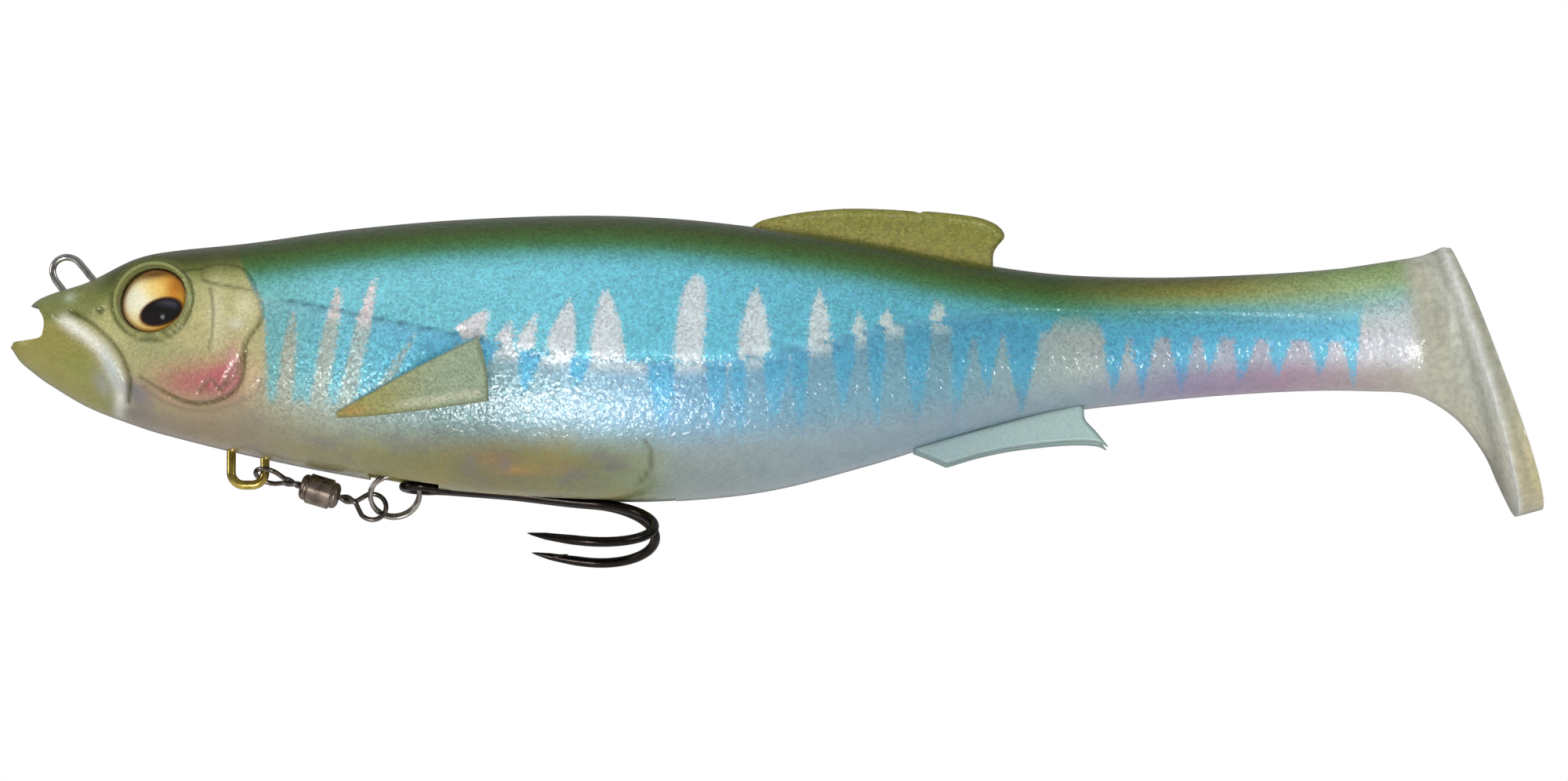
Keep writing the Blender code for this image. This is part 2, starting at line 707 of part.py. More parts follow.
# ---------------------------------------------------------------- treble hook
def hook_bend():
    """The bend and point in the plane of one hook: (along, out) rows, shank to tip."""
    middle = (HOOK_LEG + HOOK_GAP) / 2
    height = (HOOK_GAP - HOOK_LEG) / 2
    rows = []
    steps = 9
    for i in range(steps + 1):
        angle = -math.pi / 2 + math.pi * i / steps
        rows.append((
            HOOK_BEND_START + HOOK_BEND_LENGTH * math.cos(angle),
            middle + height * math.sin(angle),
        ))
    end_along, end_out = rows[-1]
    for share in (0.45, 0.75, 1.0):
        rows.append((
            end_along + (HOOK_TIP[0] - end_along) * share,
            end_out + (HOOK_TIP[1] - end_out) * share**HOOK_POINT_CURVE,
        ))
    return rows


def hook_radii(count):
    """Full wire, then a long taper to the point over the last rows."""
    return [HOOK_WIRE] * (count - 2) + [HOOK_WIRE * 0.8, HOOK_WIRE * 0.15]


def in_hook_plane(rows, angle):
    """Rows of (along, out) turned about the shank to the given angle."""
    out = (math.cos(math.radians(angle)), math.sin(math.radians(angle)))
    return [(along, reach * out[0], reach * out[1]) for along, reach in rows]


def add_hook():
    place = hook_frame()
    bend = hook_bend()
    single = in_hook_plane([(HOOK_SINGLE_START, HOOK_LEG)] + bend, 90)
    mesh = sweep(single, HOOK_WIRE, radii=hook_radii(len(single)))
    add_mesh("hook_single", moved(mesh, place), "black_nickel", HOOK_PIVOT)
    left = in_hook_plane(bend, 210)
    right = in_hook_plane(bend, 330)
    level = left[0][2]
    leg = abs(left[0][1])
    eye_start = math.degrees(math.asin(leg / HOOK_EYE_RADIUS)) + 12
    eye = [(x, y, level) for x, y in arc((0, 0), HOOK_EYE_RADIUS, -eye_start, eye_start - 360, 14)]
    join = HOOK_EYE_JOIN
    path = left[::-1] + [(join, -leg, level)] + eye + [(join, leg, level)] + right
    taper = hook_radii(len(bend))
    middle = [HOOK_WIRE] * (len(path) - 2 * len(bend))
    mesh = sweep(path, HOOK_WIRE, radii=taper[::-1] + middle + taper)
    add_mesh("hook_double", moved(mesh, place), "black_nickel", HOOK_PIVOT)


clear_scene()
add_front_body()
add_rear_bodies()
add_fins()
add_eyes()
add_wires()
add_belly_frame()
add_swivel()
add_split_ring()
add_hook()
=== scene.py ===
"""Looks of a soft paddle-tail swimbait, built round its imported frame.

Lengths below are in millimetres, and MM turns them into metres. The origin is the middle
of the line tie's loop on the nose. +X runs to the tail, +Z is up, and the fish's left
flank faces -Y.
"""

import functools
import math

import bmesh
import bpy
import numpy as np
from mathutils import Matrix, Vector


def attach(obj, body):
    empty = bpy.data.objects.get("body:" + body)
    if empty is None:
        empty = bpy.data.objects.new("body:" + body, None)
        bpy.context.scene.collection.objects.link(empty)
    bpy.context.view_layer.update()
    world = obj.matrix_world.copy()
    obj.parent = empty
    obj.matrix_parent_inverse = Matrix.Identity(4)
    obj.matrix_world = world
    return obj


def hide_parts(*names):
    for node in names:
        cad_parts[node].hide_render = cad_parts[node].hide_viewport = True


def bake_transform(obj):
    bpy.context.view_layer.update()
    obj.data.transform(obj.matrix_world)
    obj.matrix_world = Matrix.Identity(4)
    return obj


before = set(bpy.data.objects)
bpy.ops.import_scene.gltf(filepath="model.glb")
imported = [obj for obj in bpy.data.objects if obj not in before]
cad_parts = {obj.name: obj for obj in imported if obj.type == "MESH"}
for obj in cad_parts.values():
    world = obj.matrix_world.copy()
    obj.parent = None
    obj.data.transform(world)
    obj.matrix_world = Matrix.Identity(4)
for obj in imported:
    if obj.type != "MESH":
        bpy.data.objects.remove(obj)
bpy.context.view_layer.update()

MM = 0.001

# ---------------------------------------------------------------- body shape
# Body sections: x, top z, bottom z, half width.
BODY = (
    (-7.9, -9.1, -9.7, 1.0),
    (-6.9, -6.6, -11.2, 2.6),
    (-5.4, -3.9, -12.5, 3.7),
    (-3.4, -2.6, -14.0, 4.4),
    (2.0, -0.8, -17.2, 5.6),
    (7.9, 2.1, -19.5, 7.0),
    (12.0, 3.1, -20.8, 7.9),
    (23.3, 4.3, -23.6, 9.5),
    (35.6, 6.0, -26.1, 10.7),
    (50.0, 7.3, -28.4, 11.4),
    (66.3, 7.9, -29.5, 11.5),
    (78.6, 7.5, -29.5, 10.8),
    (90.9, 6.2, -28.2, 9.6),
    (103.2, 4.5, -25.1, 8.2),
    (115.5, 2.1, -21.4, 7.0),
    (127.8, 0.3, -18.2, 6.0),
    (140.1, -0.2, -16.6, 5.3),
    (152.4, 0.1, -15.5, 4.9),
    (164.7, 0.9, -15.0, 4.6),
    (176.0, 2.6, -15.4, 4.6),
)
BODY_END = BODY[-1][0]
BODY_POWER = 2.3               # how square the sections are: 2 is an ellipse
PADDLE_POWER = 2.1

# Paddle sections: top x, top z, bottom x, bottom z, half width, narrowing to the top.
PADDLE = (
    (166.0, 1.0, 166.0, -15.0, 4.6, 0.0),
    (170.0, 1.6, 170.0, -15.1, 4.6, 0.0),
    (174.5, 2.3, 174.3, -15.3, 4.6, 0.0),
    (176.5, 2.7, 177.5, -16.4, 4.9, 0.05),
    (177.8, 3.2, 181.5, -19.3, 5.8, 0.15),
    (178.5, 3.5, 184.9, -23.8, 7.6, 0.25),
    (178.9, 3.7, 187.2, -28.6, 9.6, 0.32),
    (179.2, 3.8, 188.7, -31.5, 11.3, 0.36),
    (180.2, 3.7, 192.0, -30.6, 11.3, 0.36),
    (181.9, 0.3, 190.9, -27.2, 8.8, 0.36),
)

BELLY_RIB = ((74.9, -22.2), (75.7, -23.4), (75.9, -24.8), (75.4, -26.3), (74.2, -27.6))
RIM_LINE = ((179.2, 3.8), (183.6, -12.0), (188.7, -31.5))

# Skin pieces: seams lie where the skin follows one body only.
HEAD_END = 27.0
FRONT_END = 112.0
MID_END = 149.0
STEM_END = 165.3
HEAD_STEP = 0.24
HEAD_RELIEF_END = 27.5
BODY_STEP = 0.62
SKIN_SIDES = 200

# Mouth, in the XZ plane, and the other hollows in the skin.
MOUTH_NOTCH = (
    (-12.0, -3.9), (-5.2, -4.0), (-4.1, -4.9), (-3.5, -6.1),
    (-3.6, -7.7), (-4.3, -8.5), (-7.9, -8.8), (-12.0, -8.8),
)
MOUTH_CAVITY = ((-6.9, 1.0), 2.5, (-9.3, -4.5))       # x, half width, z
RECESS = ((38.9, 48.0), 3.6, (-40.0, -25.2))          # x, half width, z
GROOVE = ((0.6, 33.4), 2.1, (-10.0, 1.9))             # along the shank, half width, out
SLOT = ((12.9, 33.4), 1.85, (-10.0, 14.9))
POCKET = ((4.2, 30.6), 3.9, (1.6, 16.5))
SOCKET_RADIUS = 4.52
SOCKET_FLOOR_RADIUS = 4.42
SOCKET_DEPTH = 1.4
SOCKET_OUT = 6.0               # how far out the socket's cutter goes on
SOCKET_FLARE = 1.2             # and how much it has widened there
MOUTH_REACH = 12.0             # the notch is cut this far to each side

# Eyes.
EYE_AT = (10.9, 6.7, -3.7)
EYE_YAW = math.radians(12)
EYE_TILT = math.radians(12)
EYE_RADIUS = 4.4

# Lines moulded into the head, as (x, z) points.
GILL_EDGE = (
    (14.9, 0.2), (17.2, 0.4), (17.9, 0.7), (19.4, 0.95), (20.9, 0.9), (22.8, 0.3),
    (23.9, -1), (24.4, -2.5), (25.3, -4.3), (25.5, -5.9), (25, -7.2), (24, -8.6),
    (23.2, -10), (23.1, -12.6), (22.5, -14.8), (20.9, -16.4), (17.9, -17.3),
    (14.9, -16.9), (11.9, -15.4), (9.3, -13.7),
)
GILL_OUTER = (
    (25.5, -14.4), (23.8, -16.4), (20.9, -17.7), (17.2, -18.3), (12.7, -17.2), (9.8, -15),
)
TEMPLE = ((17.4, 0.1), (17.7, -1.3), (20.7, -2.1), (23.9, -2.7))
PREOPERCLE = ((18.5, -2.3), (19, -4.9), (18.9, -8.1), (18.4, -10.2))
GILL_RIB = (
    (17.1, -15.8), (18.7, -14.4), (19.9, -15.7), (20.5, -14.8), (21.3, -13.2), (23.3, -10.8),
)
GILL_RIB_REAR = ((19.8, -15.3), (21.4, -14.6), (22.5, -12.6), (23.3, -11.3))
MAXILLA = ((0.2, -5.0), (3.2, -6.9), (6.2, -9.9), (7.6, -12.6), (8.0, -14.6), (7.7, -16.9))
MAXILLA_LOWER = ((-2.9, -5.6), (-0.5, -7.6), (2.9, -10.3), (5.0, -12.6), (6.6, -15.6))
NOSTRIL = (4.1, -5.1)
CHIN_FOLD = ((9.6, -15.9), (8.1, -14.6), (7.0, -12.2))
# Each line's half width and depth.
HEAD_GROOVES = (
    (GILL_OUTER, 0.3, 0.14), (TEMPLE, 0.22, 0.2), (PREOPERCLE, 0.22, 0.18),
    (GILL_RIB, 0.24, 0.22), (GILL_RIB_REAR, 0.22, 0.18), (MAXILLA, 0.28, 0.5),
    (MAXILLA_LOWER, 0.4, 0.2), (CHIN_FOLD, 0.3, 0.18),
)

# The lateral line, and the marks painted round it.
LATERAL_LINE = (
    (26.9, -3.9), (31.5, -4.6), (39.7, -6.3), (47.9, -8.0), (53.2, -9.1), (57.0, -10.3),
    (62.2, -11.2), (70.4, -11.9), (78.0, -12.1), (86.8, -11.7), (93.0, -10.5),
    (99.1, -9.2), (106.3, -7.3), (113.5, -6.3), (123.7, -4.9), (137.0, -5.2),
    (150.4, -5.3), (168.0, -5.9),
)
# Silver marks that stand on the lateral line: front x, rear x, peak x, peak z, bluntness.
MARKS = (
    (49.2, 54.2, 54.8, -5.2, 1.6),
    (55.4, 57.9, 57.6, -6.9, 2.0),
    (58.1, 60.6, 60.9, -5.8, 2.0),
    (61.9, 66.0, 65.4, -3.9, 1.8),
    (68.0, 72.4, 69.9, -2.4, 2.2),
    (78.7, 82.4, 81.8, -0.4, 6.0),
    (87.1, 91.1, 89.4, -2.3, 2.6),
    (96.2, 99.0, 97.6, -2.5, 2.4),
    (101.9, 103.6, 102.7, -5.6, 2.2),
    (105.3, 107.3, 106.3, -5.1, 2.2),
    (112.1, 114.1, 113.0, -3.4, 2.2),
)
# Silver stripes behind the gill: top x, top z, bottom x, bottom z, widest.
STRIPES = (
    (29.4, -6.0, 28.1, -18.5, 1.9),
    (35.3, -2.6, 32.4, -19.0, 2.1),
    (39.9, -1.3, 35.9, -19.0, 2.0),
    (45.2, -8.8, 41.0, -15.5, 1.1),
    (51.5, -9.6, 45.2, -15.0, 0.8),
)
# Blue drips under the lateral line: x at the line, half width there, tip x, tip z.
DRIPS = (
    (55.2, 1.4, 54.0, -13.5),
    (60.4, 1.6, 59.2, -16.6),
    (66.8, 1.5, 66.0, -16.0),
    (77.0, 1.9, 77.4, -22.0),
    (84.2, 1.5, 84.4, -21.4),
    (87.0, 1.2, 87.4, -22.8),
    (92.2, 1.9, 91.6, -20.4),
    (95.0, 1.3, 95.0, -21.6),
    (100.8, 1.6, 100.6, -18.4),
    (105.0, 1.3, 105.0, -20.6),
    (110.4, 1.9, 110.3, -20.0),
    (116.4, 1.5, 115.2, -19.6),
    (119.8, 1.9, 119.3, -16.2),
    (124.0, 2.7, 123.9, -18.3),
    (136.0, 2.1, 135.9, -15.9),
    (139.8, 1.9, 139.6, -15.9),
    (144.6, 2.0, 144.8, -15.5),
    (148.8, 1.9, 148.4, -12.9),
    (153.4, 1.9, 152.4, -14.4),
    (157.8, 2.2, 157.2, -13.6),
    (162.7, 2.0, 162.9, -13.6),
    (166.8, 1.7, 167.3, -14.5),
)
# Lower edge of the blue behind the gill, as (x, z) points.
BLUE_BLOCK = ((24.0, -17.0), (37.0, -17.6), (44.0, -15.0), (52.0, -10.2), (54.0, -9.6))
ARCH = (
    (125.9, -24.0), (126.4, -12.5), (127.4, -7.9), (128.9, -5.9), (131.1, -5.3),
    (133.2, -6.0), (134.5, -8.2), (134.9, -12.0), (134.7, -24.0),
)
BLUE_START = ((2.0, 22.4), (-1.5, 23.8), (-4.0, 25.2), (-8.0, 25.9), (-30.0, 26.3))  # z, x
BLUE_END = 168.3
BLUE_END_SLANT = 0.1
FULLY_IN = 3.0                 # the blue field is kept between this and its opposite
FAR_OUT = -9.0                 # its value where no drip or block reaches

# Fins. Roots lie just under the skin.
DORSAL_EDGE = (
    (88.6, 6.4), (90.0, 7.3), (92.4, 7.9), (96.0, 8.5), (100.8, 8.9), (105.4, 8.85),
    (109.6, 8.6), (110.8, 8.35), (111.5, 8.55), (114.6, 8.3), (118.2, 7.8), (120.5, 7.0),
    (121.7, 5.9), (121.8, 5.0), (120.9, 3.9), (120.4, 2.8), (120.4, 0.6),
)
DORSAL_ROOT = (88.8, 119.9)
DORSAL_HALF = 0.72
DORSAL_SUNK = 1.3              # root under the top line of the skin
ANAL_EDGE = (
    (109.9, -23.2), (112.0, -24.0), (113.9, -24.85), (114.6, -24.9), (117.9, -23.9),
    (122.2, -22.95), (126.9, -22.35), (131.0, -22.05), (134.0, -22.2), (135.3, -22.75),
    (134.7, -21.9), (133.6, -20.5), (132.3, -19.0), (132.1, -17.4),
)
ANAL_ROOT = ((109.9, -22.6), (114.0, -21.4), (119.1, -20.0), (126.9, -17.9), (131.7, -16.9))
ANAL_HINGE = ((110.3, 0, -23.3), (132.4, 0, -17.8))      # each fin splays about this, moved out
ANAL_HALF = 0.42
ANAL_SPREAD = 2.0
ANAL_SPLAY = math.radians(9)
PECTORAL_UPPER = ((34.9, -18.8), (40.0, -16.3), (47.0, -12.9), (54.8, -9.6))
PECTORAL_LOWER = ((35.3, -19.5), (41.0, -19.3), (47.3, -18.8), (56.3, -17.9))
PECTORAL_REAR_BULGE = 0.45
PECTORAL_RIDGE = ((38.5, -18.6), (44.0, -17.6), (54.9, -16.4))
PECTORAL_HALF = 0.42
PECTORAL_ROOT = (35.2, 10.3)
PECTORAL_SPREAD = math.radians(20)

# Line tie and hanger wires.
TIE_WIRE = 0.45
TIE_ROUTE = (
    (7.2, -6.3), (4.0, -4.7), (1.0, -3.5), (-0.7, -2.6), (-1.6, -1.5), (-2.4, -0.4),
    (-2.75, 0.8), (-2.3, 1.9), (-1.1, 2.5), (0.3, 2.15), (1.4, 1.0), (2.3, -0.1),
    (3.6, -1.4), (6.0, -2.9), (9.4, -4.6),
)
HANGER_WIRE = 0.6
HANGER_X = (20.8, 25.2)
HANGER_BOTTOM = -27.4
HANGER_CORNER = 1.7
HANGER_TOP = -19.0

# Swivel. Distances run along its axis from the hanger's side.
SWIVEL_HINGE = (24.0, 0.0, -25.73)
SWIVEL_SLOPE = math.radians(16.5)
SWIVEL_WIRE = 0.32
SWIVEL_LOOP = 1.8
SWIVEL_NECKS = (
    ("front", "swivel_front_eye", 4.5, -1, math.radians(66)),
    ("rear", "swivel_rear_eye", 13.2, 1, math.radians(-18)),
)
SWIVEL_REACH = 4.5            # from a neck to the middle of its loop's wire at the far end
SWIVEL_TWIST = 3.5            # length of the twisted neck, into the barrel
BARREL_MIDDLE = 8.75
BARREL_LENGTH = 5.2
BARREL_RADIUS = 1.98
BARREL_HOLE = 0.57

# Split ring.
RING_MIDDLE = (42.22, -0.36, -28.72)
RING_RADIUS = 3.2
RING_WIRE = 0.3
RING_PITCH = 0.66
RING_TURNS = 2
RING_START = 0.35
RING_ROLL = math.radians(19.1)
RING_TILT = math.radians(31.3)

# Treble hook, in its own frame: along the shank, and out from it.
HOOK_EYE = (45.57, 0.0, -27.77)
HOOK_SLOPE = math.radians(4.3)
HOOK_ROLL = math.radians(3)
HOOK_WIRE = 0.65
HOOK_EYE_RADIUS = 2.2
HOOK_LEG = 0.82
HOOK_BEND_START = 22.6
HOOK_BEND_LENGTH = 8.3
HOOK_GAP = 13.5
HOOK_TIP = (14.7, 12.3)
SHANK_DROP = (10.0, 22.0)     # along, where the pair's wires sink to their bends
BRAZE_START = 4.6
BEND_POINTS = 40
TIP_POINTS = 24
BARB_FROM_TIP = 3.3


# ---------------------------------------------------------------- numbers and curves
def through(rows, x):
    """Smooth values at each x through rows that start with their own x (Catmull-Rom)."""
    rows = np.asarray(rows, float)
    x = np.atleast_1d(np.asarray(x, float))
    last = len(rows) - 1
    index = np.clip(np.searchsorted(rows[:, 0], x, side="right") - 1, 0, last - 1)
    before = rows[np.maximum(index - 1, 0)]
    here = rows[index]
    after = rows[index + 1]
    beyond = rows[np.minimum(index + 2, last)]
    span = (after[:, :1] - here[:, :1])
    t = (x[:, None] - here[:, :1]) / span
    slope_here = (after - before) / (after[:, :1] - before[:, :1]) * span
    slope_after = (beyond - here) / (beyond[:, :1] - here[:, :1]) * span
    value = here * (2 * t**3 - 3 * t**2 + 1) + slope_here * (t**3 - 2 * t**2 + t)
    value += after * (3 * t**2 - 2 * t**3) + slope_after * (t**3 - t**2)
    return value[:, 1:]


def curve(points, steps=8):
    """A smooth curve through points of any dimension, the points themselves included."""
    rows = np.column_stack([np.arange(len(points)), np.asarray(points, float)])
    return through(rows, np.linspace(0, len(points) - 1, (len(points) - 1) * steps + 1))


def evenly(points, count):
    """Points at equal spacing along a line of points."""
    points = np.asarray(points, float)
    lengths = np.linalg.norm(np.diff(points, axis=0), axis=1)
    travelled = np.concatenate([[0], np.cumsum(lengths)])
    wanted = np.linspace(0, travelled[-1], count)
    columns = [np.interp(wanted, travelled, column) for column in points.T]
    return np.column_stack(columns)


def arc(middle, radius, start, end, steps=24):
    """Points of an arc in a plane, angles in degrees."""
    angles = np.radians(np.linspace(start, end, steps + 1))
    return np.column_stack([
        middle[0] + radius * np.cos(angles),
        middle[1] + radius * np.sin(angles),
    ])


def rise(value, start, end):
    """0 before start, 1 after end, and smooth between them."""
    t = np.clip((value - start) / (end - start), 0, 1)
    return t * t * (3 - 2 * t)


def bump(value, middle, width):
    return np.exp(-(((value - middle) / width) ** 2))


def blob(x, z, middle, reach, turn=0.0):
    """A soft oval spot."""
    c, s = math.cos(math.radians(turn)), math.sin(math.radians(turn))
    along = (x - middle[0]) * c + (z - middle[1]) * s
    across = (z - middle[1]) * c - (x - middle[0]) * s
    return np.exp(-((along / reach[0]) ** 2) - (across / reach[1]) ** 2)


def distance_to(line, x, z):
    """Shortest distance from each (x, z) to a line of points."""
    best = np.full(x.shape, np.inf)
    for (ax, az), (bx, bz) in zip(line, line[1:]):
        dx, dz = bx - ax, bz - az
        length_squared = max(dx * dx + dz * dz, 1e-12)
        t = np.clip(((x - ax) * dx + (z - az) * dz) / length_squared, 0, 1)
        best = np.minimum(best, np.hypot(x - ax - t * dx, z - az - t * dz))
    return best


def depth_inside(outline, x, z):
    """Distance from each (x, z) to a closed outline, positive inside it."""
    closed = list(outline) + [outline[0]]
    inside = np.zeros(x.shape, bool)
    for (ax, az), (bx, bz) in zip(closed, closed[1:]):
        if az == bz:
            continue
        crosses = (az > z) != (bz > z)
        inside ^= crosses & (x < ax + (z - az) * (bx - ax) / (bz - az))
    return np.where(inside, 1, -1) * distance_to(closed, x, z)


def srgb(red, green, blue):
    """A display colour, 0 to 255, as linear light."""
    share = np.array([red, green, blue], float) / 255
    return np.where(share <= 0.04045, share / 12.92, ((share + 0.055) / 1.055) ** 2.4)


def gradient(stops, value):
    """Linear colours at each value, through rows of (value, red, green, blue)."""
    at = [row[0] for row in stops]
    colours = np.array([srgb(*row[1:]) for row in stops])
    return np.column_stack([np.interp(value, at, channel) for channel in colours.T])


def over(base, colour, mask):
    """Lays a colour on base by a mask from 0 to 1."""
    return base + (colour - base) * np.clip(mask, 0, 1)[:, None]


def two_tone(first, second, share):
    """Colours that go from first to second."""
    return over(np.tile(srgb(*first), (len(share), 1)), srgb(*second), share)


# ---------------------------------------------------------------- meshes
def make_object(name, points, faces, crease=40.0):
    """An object from points in millimetres, smooth but for edges sharper than crease."""
    data = bpy.data.meshes.new(name)
    data.from_pydata((np.asarray(points, float) * MM).tolist(), [], faces)
    item = bpy.data.objects.new(name, data)
    bpy.context.scene.collection.objects.link(item)
    finish_mesh(item, crease)
    return item


def finish_mesh(item, crease):
    mesh = bmesh.new()
    mesh.from_mesh(item.data)
    bmesh.ops.recalc_face_normals(mesh, faces=mesh.faces)
    mesh.to_mesh(item.data)
    mesh.free()
    item.data.shade_smooth()
    item.data.set_sharp_from_angle(angle=math.radians(crease))


def rows_to_mesh(rows, closed_path=False):
    """Points and faces through rows that hold the same number of points, ends capped."""
    count, sides = rows.shape[:2]
    points = rows.reshape(-1, 3)
    faces = []
    for low in range(count if closed_path else count - 1):
        high = (low + 1) % count
        for i in range(sides):
            j = (i + 1) % sides
            faces.append((low * sides + i, low * sides + j, high * sides + j, high * sides + i))
    if not closed_path:
        faces.append(tuple(range(sides)))
        faces.append(tuple(range((count - 1) * sides, count * sides)))
    return points, faces


def solid(name, rows, place=None, crease=40.0, closed_path=False):
    """An object through rows of points, moved by a 4x4 matrix where one is given."""
    points, faces = rows_to_mesh(np.array(rows), closed_path)
    if place is not None:
        points = placed(points, place)
    return make_object(name, points, faces, crease)


def combine(item, helper, operation="DIFFERENCE", crease=35.0):
    """Applies a Boolean with a helper object, which is then removed."""
    modifier = item.modifiers.new("combine", "BOOLEAN")
    modifier.operation = operation
    modifier.object = helper
    modifier.solver = "EXACT"
    bpy.context.view_layer.update()
    graph = bpy.context.evaluated_depsgraph_get()
    made = bpy.data.meshes.new_from_object(item.evaluated_get(graph))
    item.modifiers.clear()
    old = item.data
    item.data = made
    made.name = item.name
    bpy.data.meshes.remove(old)
    remove(helper)
    finish_mesh(item, crease)
    return item


def remove(item):
    data = item.data
    bpy.data.objects.remove(item, do_unlink=True)
    bpy.data.meshes.remove(data)


def placed(points, place):
    """Points moved by a 4x4 matrix."""
    matrix = np.array(place, float)
    return np.asarray(points, float) @ matrix[:3, :3].T + matrix[:3, 3]


def frame_matrix(origin, x_axis, y_axis):
    """A local frame: its X along x_axis, its Y as near y_axis as it can be."""
    x_axis = Vector(x_axis).normalized()
    z_axis = x_axis.cross(Vector(y_axis)).normalized()
    y_axis = z_axis.cross(x_axis)
    rotation = Matrix((x_axis, y_axis, z_axis)).transposed().to_4x4()
    return Matrix.Translation(Vector(origin)) @ rotation


FIRST_SIDE = (0.3, 0.9, 0.2)      # no path starts along this


def sweep_rows(path, section, radii=None):
    """Rows of points: a flat section, (n, 2), carried along a path without twisting."""
    path = np.asarray(path, float)
    radii = np.ones(len(path)) if radii is None else radii
    ahead = np.gradient(path, axis=0)
    tangents = ahead / np.linalg.norm(ahead, axis=1, keepdims=True)
    side = np.cross(tangents[0], FIRST_SIDE)
    rows = []
    for point, tangent, size in zip(path, tangents, radii):
        side = side - tangent * side.dot(tangent)
        side = side / np.linalg.norm(side)
        other = np.cross(tangent, side)
        rows.append(point + size * (section[:, :1] * side + section[:, 1:] * other))
    return np.array(rows)


def round_section(radius, sides):
    return arc((0, 0), radius, 0, 360 - 360 / sides, sides - 1)


def wire(name, path, radius, sides):
    return solid(name, sweep_rows(path, round_section(radius, sides)))


def turned(profile, sides=64):
    """Rows turned about X: a closed profile of (x, radius)."""
    profile = np.asarray(profile, float)
    angles = np.linspace(0, 2 * math.pi, sides, endpoint=False)
    return np.array([
        np.column_stack([profile[:, 0], profile[:, 1] * math.cos(a), profile[:, 1] * math.sin(a)])
        for a in angles
    ])


def block(x_range, half_width, z_range, place=None):
    """A box helper, in millimetres."""
    corners = [
        (x, y, z) for x in x_range for y in (-half_width, half_width) for z in z_range
    ]
    faces = [(0, 1, 3, 2), (4, 6, 7, 5), (0, 4, 5, 1), (2, 3, 7, 6), (0, 2, 6, 4), (1, 5, 7, 3)]
    points = np.array(corners, float)
    if place is not None:
        points = placed(points, place)
    return make_object("helper", points, faces)


def set_attribute(item, name, values):
    """Stores values on the mesh's points: numbers, vectors or colours by their width."""
    values = np.asarray(values, np.float32)
    if values.ndim == 1:
        kind, key = "FLOAT", "value"
    elif name == "rest":
        kind, key = "FLOAT_VECTOR", "vector"
    else:
        kind, key = "FLOAT_COLOR", "color"
        values = np.column_stack([values, np.ones(len(values), np.float32)])
    attribute = item.data.attributes.new(name, kind, "POINT")
    attribute.data.foreach_set(key, values.ravel())


def points_of(item):
    """The mesh's points in millimetres."""
    flat = np.empty(len(item.data.vertices) * 3, np.float32)
    item.data.vertices.foreach_get("co", flat)
    return flat.reshape(-1, 3).astype(float) / MM


def keep_rest(item):
    """Stores where each point is at rest, so that patterns stay put when the piece bends."""
    set_attribute(item, "rest", points_of(item))


def hand_in(item, body, replaced, material):
    """Gives a rigid piece its body, the frame part it stands for and its look."""
    keep_rest(item)
    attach(item, body)
    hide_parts(replaced)
    item.data.materials.append(material)


# ---------------------------------------------------------------- skin shape
def section_angles(count):
    return 2 * math.pi * (np.arange(count) + 0.5) / count


def superellipse(count, power):
    angles = section_angles(count)
    c, s = np.cos(angles), np.sin(angles)
    across = np.sign(c) * np.abs(c) ** (2 / power)
    up = np.sign(s) * np.abs(s) ** (2 / power)
    return across, up


def body_rows(xs):
    """Rows of skin points at each x."""
    across, up = superellipse(SKIN_SIDES, BODY_POWER)
    top, bottom, half = through(BODY, xs).T
    z = (top + bottom)[:, None] / 2 + (top - bottom)[:, None] / 2 * up
    y = half[:, None] * across
    return np.stack([np.broadcast_to(xs[:, None], z.shape), y, z], axis=2)


def paddle_rows(steps):
    """Rows through the paddle sections, smooth up to the rim and straight after it."""
    rows = np.column_stack([np.arange(len(PADDLE)), np.array(PADDLE)])
    rim = len(PADDLE) - 3
    smooth = np.linspace(0, rim, rim * steps + 1)
    values = list(through(rows[:rim + 1], smooth))
    for k in range(rim, len(PADDLE) - 1):
        for t in np.linspace(0, 1, 5)[1:]:
            values.append(rows[k, 1:] * (1 - t) + rows[k + 1, 1:] * t)
    values = np.array(values)
    blend_power = np.linspace(BODY_POWER, PADDLE_POWER, len(values))
    made = []
    for (top_x, top_z, low_x, low_z, half, narrowing), power in zip(values, blend_power):
        across, up = superellipse(SKIN_SIDES, power)
        share = (up + 1) / 2
        made.append(np.column_stack([
            low_x + (top_x - low_x) * share,
            across * half * (1 - narrowing * up),
            low_z + (top_z - low_z) * share,
        ]))
    return np.array(made)


def row_normals(rows):
    """Outward normals of a grid of rows whose points close round."""
    along = np.gradient(rows, axis=0)
    around = np.roll(rows, -1, axis=1) - np.roll(rows, 1, axis=1)
    normals = np.cross(along, around)
    normals /= np.maximum(np.linalg.norm(normals, axis=2, keepdims=True), 1e-9)
    middle = rows.mean(axis=1, keepdims=True)
    outward = np.sign(np.sum(normals * (rows - middle)))
    return normals * outward


def lateral_z(x):
    return np.interp(x, *curve(LATERAL_LINE).T)


def groove(line, x, z, width, depth):
    return -depth * bump(distance_to(curve(line, 5), x, z), 0, width)


